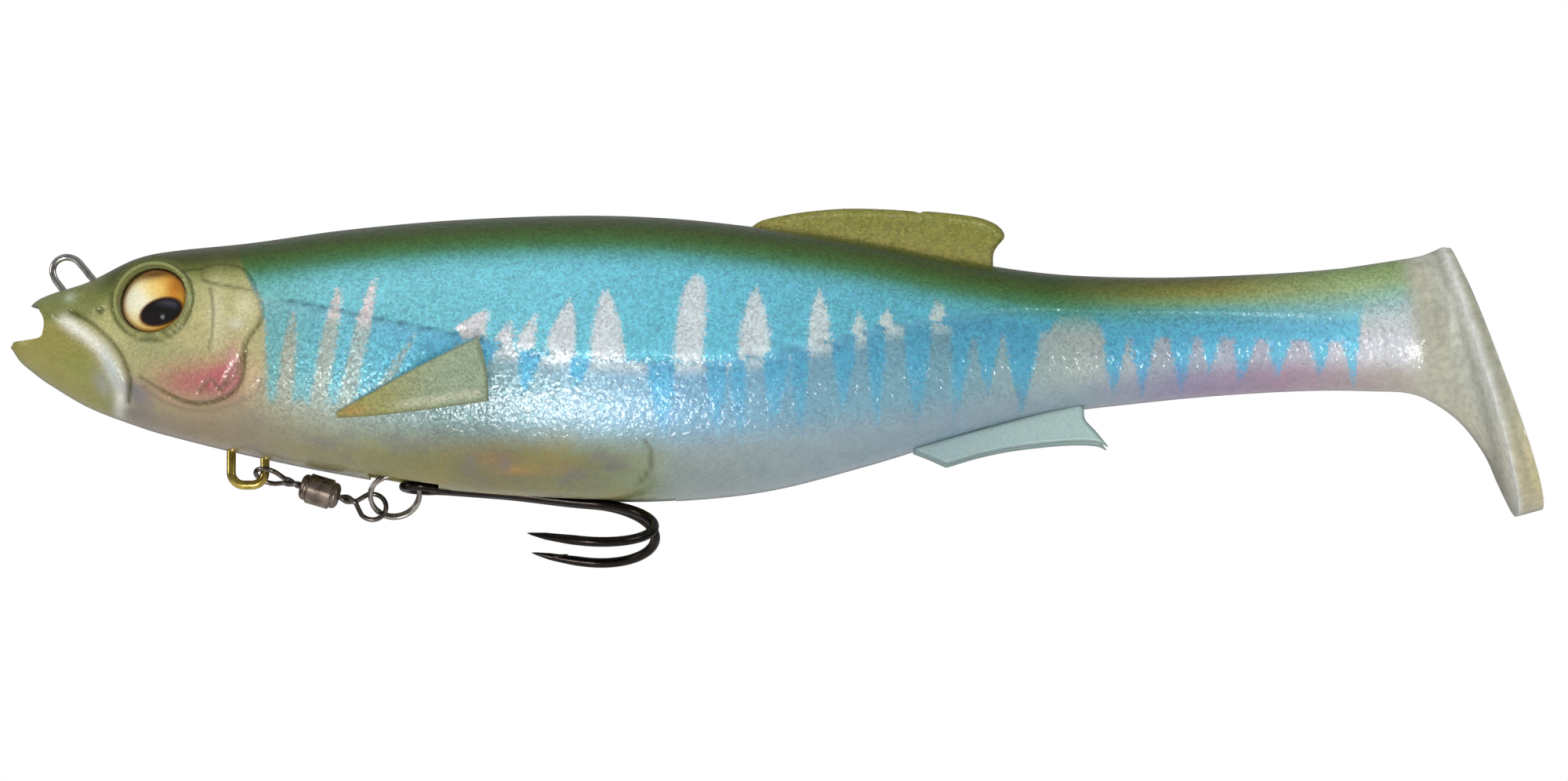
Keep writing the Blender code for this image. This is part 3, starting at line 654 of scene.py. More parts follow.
def head_relief(x, z):
    """Plates and lines of the head, in millimetres along the normal."""
    gill = curve(GILL_EDGE, 4)
    plate = depth_inside(gill, x, z)
    relief = 0.42 * rise(plate, -0.05, 0.5) * rise(x, 9.0, 15.5)
    relief += groove(GILL_EDGE, x, z, 0.26, 0.3) * rise(x, 8.5, 13)
    for line, width, depth in HEAD_GROOVES:
        relief += groove(line, x, z, width, depth)
    relief += 0.16 * bump(x, 18.9, 0.8) * rise(z, -11.5, -8) * rise(-z, 1.5, 3.5)
    band = bump(distance_to(curve(MAXILLA, 5), x + 1.0, z + 1.5), 0, 1.0)
    relief += 0.28 * band
    from_eye = np.hypot(x - EYE_AT[0], (z - EYE_AT[2]) * 0.98)
    relief += 0.2 * bump(from_eye, 4.95, 0.24)
    relief += -0.26 * bump(from_eye, 5.4, 0.2)
    relief += 0.12 * bump(from_eye, 6.0, 0.4) * rise(-z, 1.0, 4.0)
    from_nostril = np.hypot(x - NOSTRIL[0], z - NOSTRIL[1])
    relief += 0.16 * bump(from_nostril, 0.75, 0.25)
    relief -= 0.35 * bump(from_nostril, 0, 0.4)
    return relief


def skin_relief(x, z):
    """How far the skin stands proud of the plain body."""
    above = z - lateral_z(x)
    ledge = rise(above, -0.3, 0.22) * (1 - rise(above, 0.3, 6.5))
    height = 0.18 + 0.18 * rise(x, 76, 90) * (1 - rise(x, 118, 134))
    relief = height * ledge * rise(x, 52, 58) * (1 - rise(x, 160, 169))
    thin = rise(x, 26.2, 28.0) * (1 - rise(x, 54, 58))
    relief -= 0.22 * bump(above, 0, 0.22) * thin
    return relief + head_relief(x, z) * (x < HEAD_RELIEF_END)


def displaced(rows):
    flat = rows.reshape(-1, 3)
    relief = skin_relief(flat[:, 0], flat[:, 2]).reshape(rows.shape[:2])
    inner = 1 - rise(np.abs(rows[:, :, 1]), 2.4, 1.2)
    return rows + row_normals(rows) * (relief * inner)[:, :, None]


def nose_cap(rows, steps=3):
    """Closes the nose with rings that shrink on to its middle."""
    first = rows[0]
    middle = first.mean(axis=0)
    caps = []
    for k in range(steps):
        share = (k + 0.35) / steps
        ring = middle + (first - middle) * share
        ring[:, 0] -= 0.22 * (1 - share**2)
        caps.append(ring)
    return np.concatenate([np.array(caps), rows])


def shank_place(rolled=False):
    """The hook's frame: X along the shank, Z up out of it."""
    along = Vector((math.cos(HOOK_SLOPE), 0, -math.sin(HOOK_SLOPE)))
    up = Vector((math.sin(HOOK_SLOPE), 0, math.cos(HOOK_SLOPE)))
    roll = HOOK_ROLL if rolled else 0.0
    across = Vector((0, 1, 0)) * math.cos(roll) - up * math.sin(roll)
    return frame_matrix(HOOK_EYE, along, across)


def eye_place(side):
    """The eye's frame: X out of the head, origin on the socket's floor."""
    out = Vector((
        -math.sin(EYE_YAW) * math.cos(EYE_TILT),
        side * math.cos(EYE_YAW) * math.cos(EYE_TILT),
        math.sin(EYE_TILT),
    ))
    at = Vector((EYE_AT[0], side * EYE_AT[1], EYE_AT[2])) - out * SOCKET_DEPTH
    return frame_matrix(at, out, (1, 0, 0))


def socket_helper(side):
    """The hole that an eye sits in, a little wider at the skin."""
    rows = []
    for along, radius in (
        (0.0, SOCKET_FLOOR_RADIUS), (SOCKET_DEPTH, SOCKET_RADIUS),
        (SOCKET_OUT, SOCKET_RADIUS + SOCKET_FLARE),
    ):
        ring = round_section(radius, 96)
        rows.append(np.column_stack([np.full(len(ring), along), ring]))
    return solid("helper", rows, eye_place(side))


def mouth_helper():
    notch = evenly(curve(MOUTH_NOTCH, 6), 60)
    return solid("helper", [
        np.column_stack([notch[:, 0], np.full(len(notch), y), notch[:, 1]])
        for y in (-MOUTH_REACH, MOUTH_REACH)
    ])


def cut_hollows(skin):
    """Mouth, eye sockets, ring recess, shank groove, hook slot and frame pocket."""
    place = shank_place()
    hollows = mouth_helper()
    for helper in (
        block(*MOUTH_CAVITY), block(*RECESS), block(*GROOVE, place), block(*SLOT, place),
        block(*POCKET, place), socket_helper(-1), socket_helper(1),
    ):
        combine(hollows, helper, "UNION")
    combine(skin, hollows)


# ---------------------------------------------------------------- skin paint
BACK = (
    (0.0, 54, 74, 24), (1.0, 50, 70, 20), (2.2, 58, 84, 25), (3.3, 64, 102, 44),
    (4.6, 70, 126, 84), (6.2, 84, 158, 146), (9.0, 104, 196, 214),
)
STEM_BACK = (
    (0.0, 70, 74, 34), (1.2, 118, 116, 52), (2.6, 142, 142, 72), (3.8, 134, 166, 120),
    (4.8, 104, 166, 165), (7.0, 100, 176, 196),
)
TAIL_BACK = (
    (0.0, 124, 146, 92), (1.2, 142, 166, 108), (3.0, 158, 182, 132), (4.6, 150, 190, 168),
    (7.0, 140, 190, 200),
)
UPPER_BLUE = (
    (25.0, 110, 182, 178), (35.0, 112, 196, 208), (60.0, 116, 204, 222),
    (80.0, 106, 198, 220), (95.0, 100, 188, 210), (125.0, 78, 168, 190),
    (150.0, 96, 184, 204), (168.0, 124, 206, 220),
)
LOWER_BLUE = (
    (25.0, 112, 178, 180), (35.0, 104, 188, 206), (55.0, 88, 180, 218),
    (80.0, 92, 182, 220), (95.0, 84, 168, 202), (125.0, 74, 158, 188),
    (150.0, 92, 176, 208), (168.0, 112, 194, 222),
)
SILVER = (
    (25.0, 216, 204, 192), (40.0, 226, 212, 212), (60.0, 212, 220, 224), (90.0, 206, 220, 224),
    (115.0, 186, 204, 200), (131.0, 120, 160, 156), (150.0, 176, 196, 188),
    (166.0, 190, 204, 200), (172.0, 204, 214, 214),
)
LOWER_FLANK = (
    (20.0, 172, 160, 132), (28.0, 168, 174, 158), (38.0, 168, 190, 186),
    (50.0, 132, 164, 164), (66.0, 150, 188, 206), (80.0, 126, 172, 200),
    (95.0, 120, 164, 184), (115.0, 112, 156, 170), (131.0, 158, 172, 166),
    (145.0, 152, 164, 178), (160.0, 176, 176, 190), (170.0, 206, 208, 214),
)
BELLY = (
    (-8.0, 150, 134, 84), (3.0, 144, 130, 84), (9.0, 138, 126, 110), (18.0, 152, 134, 108),
    (28.0, 146, 140, 112), (40.0, 140, 138, 88), (55.0, 128, 122, 78),
    (68.0, 132, 136, 90), (75.0, 144, 156, 122), (79.0, 148, 162, 158),
    (95.0, 150, 168, 174), (115.0, 144, 168, 182), (131.0, 152, 172, 180),
    (145.0, 154, 146, 174), (158.0, 172, 146, 166), (168.0, 182, 168, 170),
    (174.0, 190, 182, 170),
)
HEAD = (
    (0.0, 60, 70, 18), (1.0, 58, 66, 12), (2.2, 66, 76, 16), (3.6, 110, 118, 50),
    (5.5, 170, 168, 110), (9.0, 188, 182, 126), (14.0, 184, 174, 126), (19.0, 168, 156, 112),
)

# Painted spots: colour, middle, half sizes, turn in degrees, strength.
# Of the face spots, the first is the pale lower end of the painted highlight along the upper
# jaw's fold, and the fourth is a painted highlight on the cheek's ridge.
FACE_SPOTS_AND_HIGHLIGHTS = (
    ((196, 206, 204), (5.6, -12.9), (0.9, 2.8), 22, 0.85),
    ((146, 150, 148), (4.3, -14.6), (1.0, 2.0), 25, 0.7),
    ((158, 160, 112), (11.0, -10.5), (4.5, 2.4), 0, 0.8),
    ((214, 208, 172), (19.4, -6.0), (1.1, 4.2), 0, 0.75),
    ((218, 214, 178), (23.2, -4.8), (1.4, 2.2), 0, 0.6),
    ((214, 214, 196), (21.9, -7.2), (1.0, 0.8), 0, 0.6),
)
# Painted shade under the jaw: a grey spot in the chin's fold and a grey-violet shadow below it.
THROAT_SHADE_SPOTS = (
    ((112, 114, 118), (8.9, -15.9), (2.6, 1.5), -35, 0.95),
    ((122, 114, 116), (8.2, -18.4), (2.6, 1.1), -12, 0.7),
)
BELLY_SPOTS = (
    ((206, 148, 84), (58.4, -26.0), (2.6, 0.6), 0, 0.5),
    ((176, 120, 84), (55.5, -24.6), (2.6, 0.9), 0, 0.35),
    ((188, 140, 112), (63.5, -25.6), (2.8, 0.9), 0, 0.3),
)
# Iris spots: the first three are a painted glint and highlight on the pale front and top, the
# fourth is orange-gold print, and the last is a painted shadow of the brow along the upper rim.
IRIS_PRINT_AND_PAINTED_LIGHT = (
    ((255, 240, 170), (-2.2, -0.2), (2.5, 3.2), 0, 1.3),
    ((255, 254, 240), (-2.5, 0.3), (1.9, 2.1), 0, 1.4),
    ((255, 226, 140), (0.1, 1.8), (1.6, 1.1), 0, 0.8),
    ((196, 116, 22), (2.7, 1.9), (1.2, 1.5), 0, 0.9),
    ((92, 56, 16), (0.0, 3.8), (3.2, 0.7), 8, 0.95),
)


def spots(colours, x, z, rows):
    """Lays soft oval spots on colours, one after the other."""
    for colour, middle, reach, turn, strength in rows:
        colours = over(colours, srgb(*colour), blob(x, z, middle, reach, turn) * strength)
    return colours


def blue_start(z):
    """Where the blue begins behind the gill, at each z."""
    return np.interp(-z, [-row[0] for row in BLUE_START], [row[1] for row in BLUE_START])


def blue_field(x, z):
    """Millimetres inside the blue paint, negative where silver or pearl shows."""
    above = z - lateral_z(x)
    upper = np.full(x.shape, FULLY_IN)
    for front, rear, peak_x, peak_z, bluntness in MARKS:
        base = lateral_z(np.array([(front + rear) / 2]))[0] - 0.4
        share = np.clip((z - base) / (peak_z - base), 0, 1.2)
        fullness = 1 - share**bluntness
        middle = (front + rear) / 2 + (peak_x - (front + rear) / 2) * share**1.3
        mark = np.abs(x - middle) - (rear - front) / 2 * fullness
        mark = np.maximum(mark, (z - peak_z) * 0.6)
        upper = np.where(z > base - 2, np.minimum(upper, mark), upper)
    lower = np.full(x.shape, FAR_OUT)
    for line_x, half, tip_x, tip_z in DRIPS:
        base = lateral_z(np.array([line_x]))[0] + 0.6
        share = np.clip((z - base) / (tip_z - base), 0, 1.3)
        middle = line_x + (tip_x - line_x) * share
        drip = half * (1 - share**1.7) - np.abs(x - middle)
        lower = np.maximum(lower, drip)
    block_floor = np.interp(x, *zip(*BLUE_BLOCK))
    block_field = np.where(x < BLUE_BLOCK[-1][0], (z - block_floor) * 0.6, FAR_OUT)
    lower = np.maximum(lower, block_field)
    joined = 0.3 + 3.0 * rise(x, 112, 118) * (1 - rise(x, 166, 168))
    lower = np.maximum(lower, joined + np.minimum(above, 0))
    field = np.where(above > 0, upper, lower)
    for top_x, top_z, low_x, low_z, width in STRIPES:
        share = np.clip((z - low_z) / (top_z - low_z), 0, 1)
        middle = low_x + (top_x - low_x) * share
        half = width / 2 * np.clip(1.25 - share**3 * 1.1, 0, 1)
        stripe = np.abs(x - middle) - half
        stripe = np.where((z > top_z + 0.4) | (z < low_z - 1), FULLY_IN, stripe)
        field = np.minimum(field, stripe)
    field = np.minimum(field, -depth_inside(ARCH, x, z))
    field = np.minimum(field, x - blue_start(z))
    field = np.minimum(field, BLUE_END + BLUE_END_SLANT * (z + 5) - x)
    return np.clip(field, -FULLY_IN, FULLY_IN)


def back_over(colours, x, depth, tables_at):
    """Lays the back's dark green on colours, by depth under the top line."""
    tables = [gradient(table, depth) for table, _ in tables_at]
    centres = [centre for _, centre in tables_at]
    back = np.empty_like(colours)
    for channel in range(3):
        stack = np.array([table[:, channel] for table in tables])
        place = np.interp(x, centres, range(len(centres)))
        low = np.floor(place).astype(int)
        high = np.minimum(low + 1, len(centres) - 1)
        share = place - low
        columns = np.arange(len(x))
        back[:, channel] = stack[low, columns] * (1 - share) + stack[high, columns] * share
    reach = 1 - rise(depth, 4.2, 8.8)
    return over(colours, back, reach)


def head_paint(x, z, depth):
    """Green-gold head, brown jaw, a painted highlight along the upper jaw's fold, and red gill.
    """
    colours = gradient(HEAD, depth)
    maxilla = curve(MAXILLA, 4)
    edge = np.interp(z, maxilla[::-1, 1], maxilla[::-1, 0])
    jaw = 1 - rise(x - edge, -1.6, -0.2)
    colours = over(colours, srgb(150, 143, 76), jaw * rise(-z, 5.0, 7.5))
    mottle = blob(x, z, (1.5, -12.5), (2.6, 1.6), -35) + blob(x, z, (6.2, -17.2), (2.2, 1.2), -20)
    colours = over(colours, srgb(138, 146, 72), mottle * jaw * 0.8)
    snout = (1 - rise(x, 1.5, 6.0)) * (1 - rise(-z, 4.6, 7.0))
    colours = over(colours, srgb(122, 128, 70), snout)
    # Painted highlight along the fold beside the upper jaw's line.
    band = bump(distance_to(maxilla, x + 1.1, z + 1.3), 0, 0.9)
    colours = over(colours, srgb(238, 236, 220), band * rise(x, -3.0, 0.5))
    colours = spots(colours, x, z, FACE_SPOTS_AND_HIGHLIGHTS)
    throat = 1 - rise(z, -20.5, -16.6)
    colours = over(colours, gradient(BELLY, x), throat * rise(x, 5.0, 9.0))
    colours = spots(colours, x, z, THROAT_SHADE_SPOTS)
    blush = blob(x, z, (16.6, -14.6), (5.0, 2.4)) + blob(x, z, (21.0, -14.0), (2.4, 2.4))
    colours = over(colours, srgb(178, 98, 100), blush * 0.85)
    colours = over(colours, srgb(218, 150, 160), blob(x, z, (21.6, -12.6), (0.8, 2.6)) * 0.7)
    behind = rise(-depth_inside(GILL_EDGE, x, z), -0.3, 0.5) * rise(x, 20.0, 22.5)
    behind = behind * rise(-z, 0, 5) * (1 - rise(-z, 13, 18))
    colours = over(colours, srgb(184, 178, 130), behind * 0.7)
    colours = over(colours, srgb(204, 170, 140), blob(x, z, (24.4, -14.4), (1.5, 2.4)) * 0.6)
    # Painted shade in the moulded lines of the gill cover, temple, upper jaw, preopercle and gill
    # ribs.
    lines = 0.0
    for line, reach in (
        (GILL_EDGE, 0.24), (TEMPLE, 0.2), (MAXILLA, 0.3), (PREOPERCLE, 0.2), (GILL_RIB, 0.25),
        (GILL_RIB_REAR, 0.22),
    ):
        lines = np.maximum(lines, bump(distance_to(curve(line, 4), x, z), 0, reach))
    colours = over(colours, srgb(92, 92, 50), lines * 0.65)
    # Painted shade, brownish, in the gill cover's outer groove.
    outer = bump(distance_to(curve(GILL_OUTER, 4), x, z), 0, 0.28)
    colours = over(colours, srgb(120, 104, 84), outer * 0.45)
    # Painted highlight on a small bump on the snout.
    colours = over(colours, srgb(176, 190, 158), blob(x, z, (-0.1, -3.1), (0.8, 0.7)) * 0.8)
    from_eye = np.hypot(x - EYE_AT[0], z - EYE_AT[2])
    colours = over(colours, srgb(116, 122, 62), (1 - rise(from_eye, 5.2, 6.1)) * 0.8)
    colours = over(colours, srgb(168, 172, 108), bump(from_eye, 4.98, 0.22) * 0.7)
    # Painted shade in the groove round the eye's rim and at the socket's edge.
    colours = over(colours, srgb(78, 80, 34), bump(from_eye, 5.42, 0.22) * 0.5)
    colours = over(colours, srgb(88, 78, 34), bump(from_eye, 4.6, 0.16) * 0.7)
    # Painted shade in the nostril's pit.
    from_nostril = np.hypot(x - NOSTRIL[0], z - NOSTRIL[1])
    return over(colours, srgb(70, 72, 34), bump(from_nostril, 0, 0.45) * 0.8)


def paint_skin(item):
    """Stores the skin's colours and fields on its points."""
    x, _, z = points_of(item).T
    spread = np.clip(x, BODY[0][0], BODY_END)
    top, bottom, _ = through(BODY, spread).T
    top = np.where(x > BODY_END, top + (x - BODY_END) * 0.3, top)
    depth = np.clip(top - z, 0, None)
    height = z - bottom
    above = z - lateral_z(spread)
    under = gradient(SILVER, x)
    under = over(under, gradient(LOWER_FLANK, x), 1 - rise(above, -2.5, -0.1))
    reach = 1.6 + 3.0 * rise(x, 30, 60) * (1 - rise(x, 76, 130))
    fade = 5.5 - 2.5 * rise(x, 84, 140) + 2.5 * (1 - rise(x, 30, 50))
    belly = 1 - rise(height, reach, reach + fade)
    under = over(under, gradient(BELLY, x), belly)
    under = spots(under, x, z, BELLY_SPOTS)
    rib = bump(distance_to(BELLY_RIB, x, z), 0, 0.3)
    under = over(under, srgb(86, 86, 56), rib * 0.7)
    flank = over(gradient(UPPER_BLUE, x), gradient(LOWER_BLUE, x), 1 - rise(above, -0.5, 0.4))
    violet = rise(-z, 10.5, 14.5) * rise(x, 134, 142) * (1 - rise(x, 164, 169))
    flank = over(flank, srgb(104, 134, 196), violet * 0.6)
    line_shade = bump(above, -0.12, 0.24) * rise(x, 27, 29) * (1 - rise(x, 164, 168))
    flank = over(flank, srgb(46, 110, 132), line_shade * (0.75 - 0.3 * rise(x, 54, 62)))
    under = over(under, srgb(110, 142, 146), line_shade * 0.6)
    # Painted shade just under the lateral line's ledge.
    below = bump(above, -0.9, 0.8) * rise(x, 58, 72) * (1 - rise(x, 150, 160))
    flank = over(flank, srgb(62, 138, 176), below * 0.35)
    tables = ((BACK, 128.0), (STEM_BACK, 150.0), (TAIL_BACK, 166.0))
    under = back_over(under, x, depth, tables)
    flank = back_over(flank, x, depth, tables)
    softness = 0.7 + 5.0 * rise(-z, 12, 20)
    head = 1 - rise((x - blue_start(z)) / softness, -1.2, 0.7)
    under = over(under, head_paint(x, z, depth), head)
    clear = rise(x + 0.12 * z, 172.5, 176.0)
    rubber = two_tone((190, 190, 172), (210, 200, 158), rise(-z, 14, 29))
    rubber = over(rubber, srgb(204, 208, 206), bump(x + 0.27 * z, 179.0, 1.4) * 0.4)
    # Painted highlight along the paddle's rim line, and a painted line of shade 1.3 mm either
    # side of it.
    to_rim = distance_to(RIM_LINE, x, z)
    rubber = over(rubber, srgb(220, 222, 218), bump(to_rim, 0, 0.5) * 0.8)
    rubber = over(rubber, srgb(140, 140, 120), bump(to_rim, 1.3, 0.5) * 0.45)
    under = over(under, rubber, clear)
    keep_rest(item)
    set_attribute(item, "paint", under)
    set_attribute(item, "flank", flank)
    set_attribute(item, "blue", blue_field(x, z))
    lower_cover = 0.5 + 0.42 * (1 - rise(-z, 12.0, 21.5)) + 0.08 * rise(x, 118, 130)
    set_attribute(item, "cover", np.where(above > 0, 0.97, lower_cover))
    sparkle = (1 - 0.7 * belly) * (1 - 0.8 * clear) * (1 - 0.45 * head)
    set_attribute(item, "spark", sparkle)
    set_attribute(item, "clear", np.maximum(clear, 0.25 * belly))
    set_attribute(item, "blotch", 0.4 * belly * rise(x, 12, 34) * (1 - rise(x, 70, 78)))


def add_skins():
    head = np.arange(BODY[0][0], HEAD_END, HEAD_STEP)
    flank = np.linspace(HEAD_END, FRONT_END, round((FRONT_END - HEAD_END) / BODY_STEP))
    rows = displaced(body_rows(np.concatenate([head, flank])))
    front = solid("skin_front", nose_cap(rows))
    cut_hollows(front)
    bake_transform(front)
    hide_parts("body_front")

    xs = np.linspace(FRONT_END, MID_END, round((MID_END - FRONT_END) / BODY_STEP))
    mid = solid("skin_mid", displaced(body_rows(xs)))
    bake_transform(mid)
    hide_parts("body_mid")

    xs = np.linspace(MID_END, STEM_END, round((STEM_END - MID_END) / BODY_STEP))
    stem = solid("skin_stem", displaced(body_rows(xs)))
    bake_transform(stem)
    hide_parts("stem_front")

    flare = paddle_rows(9)
    xs = np.arange(STEM_END, PADDLE[0][0] - 0.2, BODY_STEP)
    tail_rows = displaced(np.concatenate([body_rows(xs), flare]))
    tail = solid("skin_tail", tail_rows, crease=32.0)
    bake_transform(tail)
    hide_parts("stem_rear", "paddle_tail")
    for item, slot in ((front, "skin"), (mid, "skin"), (stem, "skin"), (tail, "tail")):
        paint_skin(item)
        item.data.materials.append(skin_material())


# ---------------------------------------------------------------- fins
def fin_mesh(name, root, edge, half, place=None, spans=(120, 22), relief=None, rear_bulge=0.0):
    """A thin blade between a root line and an edge line, its rim rounded all round.

    Also gives its points before they are placed, and how far each is inside the rim.
    """
    along, out = spans
    root = evenly(root, along)
    edge = evenly(edge, along)
    t = np.linspace(0, 1, out)
    t = 0.5 * (t + (1 - (1 - t) ** 2))
    flat = root[:, None, :] * (1 - t)[None, :, None] + edge[:, None, :] * t[None, :, None]
    flat[:, :, 0] += rear_bulge * np.sin(math.pi * t) * np.linspace(0, 1, along)[:, None] ** 8
    x, z = flat[:, :, 0], flat[:, :, 1]
    border = np.concatenate([flat[:, 0], flat[-1, 1:], flat[::-1, -1][1:], flat[0, ::-1][1:-1]])
    outline = list(border) + [border[0]]
    inward = distance_to(outline, x.ravel(), z.ravel()).reshape(x.shape)
    round_over = np.sqrt(np.clip(1 - (1 - np.clip(inward / (half * 1.3), 0, 1)) ** 2, 0, 1))
    taper = 1 - 0.45 * t[None, :]
    thick = half * taper * round_over
    rim = 0.12 * bump(inward, 0.55, 0.3) * t[None, :]
    thick = thick + rim * (inward > 0.05)
    if relief is not None:
        thick = thick + relief(x, z) * round_over
    last_i, last_j = along - 1, out - 1
    points, index = [], {}
    for side in (-1, 1):
        for i in range(along):
            for j in range(out):
                on_rim = i in (0, last_i) or j in (0, last_j)
                if on_rim and side == 1:
                    index[(side, i, j)] = index[(-1, i, j)]
                    continue
                index[(side, i, j)] = len(points)
                reach = 0.0 if on_rim else thick[i, j]
                points.append((x[i, j], side * reach, z[i, j]))
    faces = []
    for side in (-1, 1):
        for i in range(last_i):
            for j in range(last_j):
                corners = [(i, j), (i + 1, j), (i + 1, j + 1), (i, j + 1)]
                faces.append(tuple(index[(side, *corner)] for corner in corners))
    flat_points = points = np.array(points)
    if place is not None:
        points = placed(points, place)
    item = make_object(name, points, faces, crease=75.0)
    reach_in = distance_to(outline, flat_points[:, 0], flat_points[:, 2])
    return item, flat_points, reach_in


def finish_fin(item, colours, reach_in, body, replaced, material):
    """Stores a fin's colours and how near each point is to its rim, then hands it in."""
    set_attribute(item, "paint", colours)
    set_attribute(item, "rim", bump(reach_in, 0, 0.35))
    hand_in(item, body, replaced, material)


def add_dorsal():
    xs = np.linspace(*DORSAL_ROOT, 40)
    tops = through(BODY, xs)[:, 0]
    root = np.column_stack([xs, tops - DORSAL_SUNK])
    item, flat, reach_in = fin_mesh(
        "dorsal_blade", root, curve(DORSAL_EDGE, 4), DORSAL_HALF, spans=(150, 24)
    )
    height = rise(flat[:, 2] - through(BODY, flat[:, 0])[:, 0], 0, 4)
    colours = two_tone((150, 144, 74), (138, 138, 64), height)
    rubber = fin_material("olive_fin", 1.0, (94, 92, 44), 0.35)
    finish_fin(item, colours, reach_in, "dorsal", "dorsal_fin", rubber)


def add_anals():
    root_point = Vector(ANAL_HINGE[0])
    tail_point = Vector(ANAL_HINGE[1])
    for name, side in (("left", -1), ("right", 1)):
        hinge = root_point + Vector((0, side * ANAL_SPREAD, 0))
        turn = Matrix.Rotation(side * ANAL_SPLAY, 4, tail_point - root_point)
        place = Matrix.Translation(hinge) @ turn @ Matrix.Translation(-root_point)
        item, flat, reach_in = fin_mesh(
            f"anal_blade_{name}", curve(ANAL_ROOT, 5), curve(ANAL_EDGE, 4), ANAL_HALF, place
        )
        colours = two_tone((164, 188, 192), (176, 202, 200), rise(flat[:, 0], 110, 134))
        finish_fin(
            item, colours, reach_in, f"anal_{name}", f"anal_fin_{name}",
            fin_material("clear_fin", 0.2, (96, 116, 120), 0.7),
        )


def pectoral_relief(x, z):
    ridge = distance_to(curve(PECTORAL_RIDGE, 4), x, z)
    return 0.22 * bump(ridge, 0, 0.35) + 0.05 * np.sin((z + 0.28 * x) * 3.4)


def add_pectorals():
    upper = curve(PECTORAL_UPPER, 8)
    lower = curve(PECTORAL_LOWER, 8)
    for name, side in (("left", -1), ("right", 1)):
        hinge = Vector((PECTORAL_ROOT[0], side * PECTORAL_ROOT[1], 0))
        spread = Matrix.Rotation(side * PECTORAL_SPREAD, 4, "Z")
        place = Matrix.Translation(hinge) @ spread @ Matrix.Translation((-PECTORAL_ROOT[0], 0, 0))
        item, flat, reach_in = fin_mesh(
            f"pectoral_blade_{name}", lower, upper, PECTORAL_HALF, place,
            relief=pectoral_relief, spans=(120, 44), rear_bulge=PECTORAL_REAR_BULGE,
        )
        x, z = flat[:, 0], flat[:, 2]
        colours = two_tone((156, 152, 92), (148, 164, 140), rise(x, 38, 52))
        # Painted highlight along the moulded ridge, just under it.
        ridge = bump(distance_to(curve(PECTORAL_RIDGE, 4), x, z + 0.5), 0, 0.5)
        colours = over(colours, srgb(196, 196, 168), ridge * rise(x, 42, 46) * 0.7)
        colours = over(colours, srgb(168, 132, 74), blob(x, z, (37.5, -18.6), (2.0, 0.8)) * 0.8)
        finish_fin(
            item, colours, reach_in, f"pectoral_{name}", f"pectoral_fin_{name}",
            fin_material("pectoral_fin", 0.8, (104, 112, 58), 0.5),
        )


# ---------------------------------------------------------------- eyes
FOIL_BACK = 0.15
FOIL_THICKNESS = 0.3
LENS_BACK = 0.6
LENS_HEIGHT = 1.9
LENS_SHRINK = 0.985            # keeps the dome's rim a little above the lens's back
PUPIL = ((1.0, -1.4), (2.75, 1.75), 17.0)         # middle, half sizes, turn in degrees


def disc_points(radius, rings, sides):
    """A polar grid: the middle point first, then rings outwards."""
    radii = radius * np.linspace(0, 1, rings + 1)[1:]
    angles = np.linspace(0, 2 * math.pi, sides, endpoint=False)
    u = np.concatenate([[0], (radii[:, None] * np.cos(angles)).ravel()])
    v = np.concatenate([[0], (radii[:, None] * np.sin(angles)).ravel()])
    return u, v


def disc_faces(rings, sides, start, flipped):
    faces = []
    for i in range(sides):
        j = (i + 1) % sides
        face = [start, start + 1 + i, start + 1 + j]
        faces.append(tuple(face[::-1] if flipped else face))
        for k in range(rings - 1):
            low = start + 1 + k * sides
            high = low + sides
            face = [low + i, high + i, high + j, low + j]
            faces.append(tuple(face[::-1] if flipped else face))
    return faces


def lens_shape(name, front, back, place, rings=40, sides=96):
    """A closed round body between two discs, front and back as functions of the radius."""
    u, v = disc_points(EYE_RADIUS, rings, sides)
    radius = np.hypot(u, v)
    count = len(u)
    points = np.concatenate([
        np.column_stack([back(radius), u, v]), np.column_stack([front(radius), u, v]),
    ])
    faces = disc_faces(rings, sides, 0, True) + disc_faces(rings, sides, count, False)
    rim_back = 1 + (rings - 1) * sides
    rim_front = count + rim_back
    for i in range(sides):
        j = (i + 1) % sides
        faces.append((rim_back + i, rim_back + j, rim_front + j, rim_front + i))
    return make_object(name, placed(points, place), faces), points


def iris_colours(u, v):
    """Gold foil with a dark rim, a painted glint on its pale front, a painted shadow of the brow
    along its top, and an oval pupil with a painted reflection.
    """
    radius = np.hypot(u, v)
    colours = np.tile(srgb(230, 170, 48), (len(u), 1))
    colours = spots(colours, u, v, IRIS_PRINT_AND_PAINTED_LIGHT)
    colours = over(colours, srgb(150, 98, 22), rise(radius, 3.6, 4.2) * 0.7)
    colours = over(colours, srgb(52, 32, 10), rise(radius, 4.12, 4.38) * 0.9)
    (mu, mv), (a, b), turn = PUPIL
    c, s = math.cos(math.radians(turn)), math.sin(math.radians(turn))
    along = ((u - mu) * c + (v - mv) * s) / a
    across = ((v - mv) * c - (u - mu) * s) / b
    pupil = np.hypot(along, across)
    colours = over(colours, srgb(92, 44, 10), 1 - rise(pupil, 1.0, 1.22))
    colours = over(colours, srgb(14, 12, 18), 1 - rise(pupil, 0.94, 1.03))
    # Painted reflection on the pupil's upper right.
    pupil_reflection = (1 - rise(pupil, 0.7, 0.95)) * rise(along + across, 0.3, 1.1)
    return over(colours, srgb(70, 76, 100), pupil_reflection * 0.6)


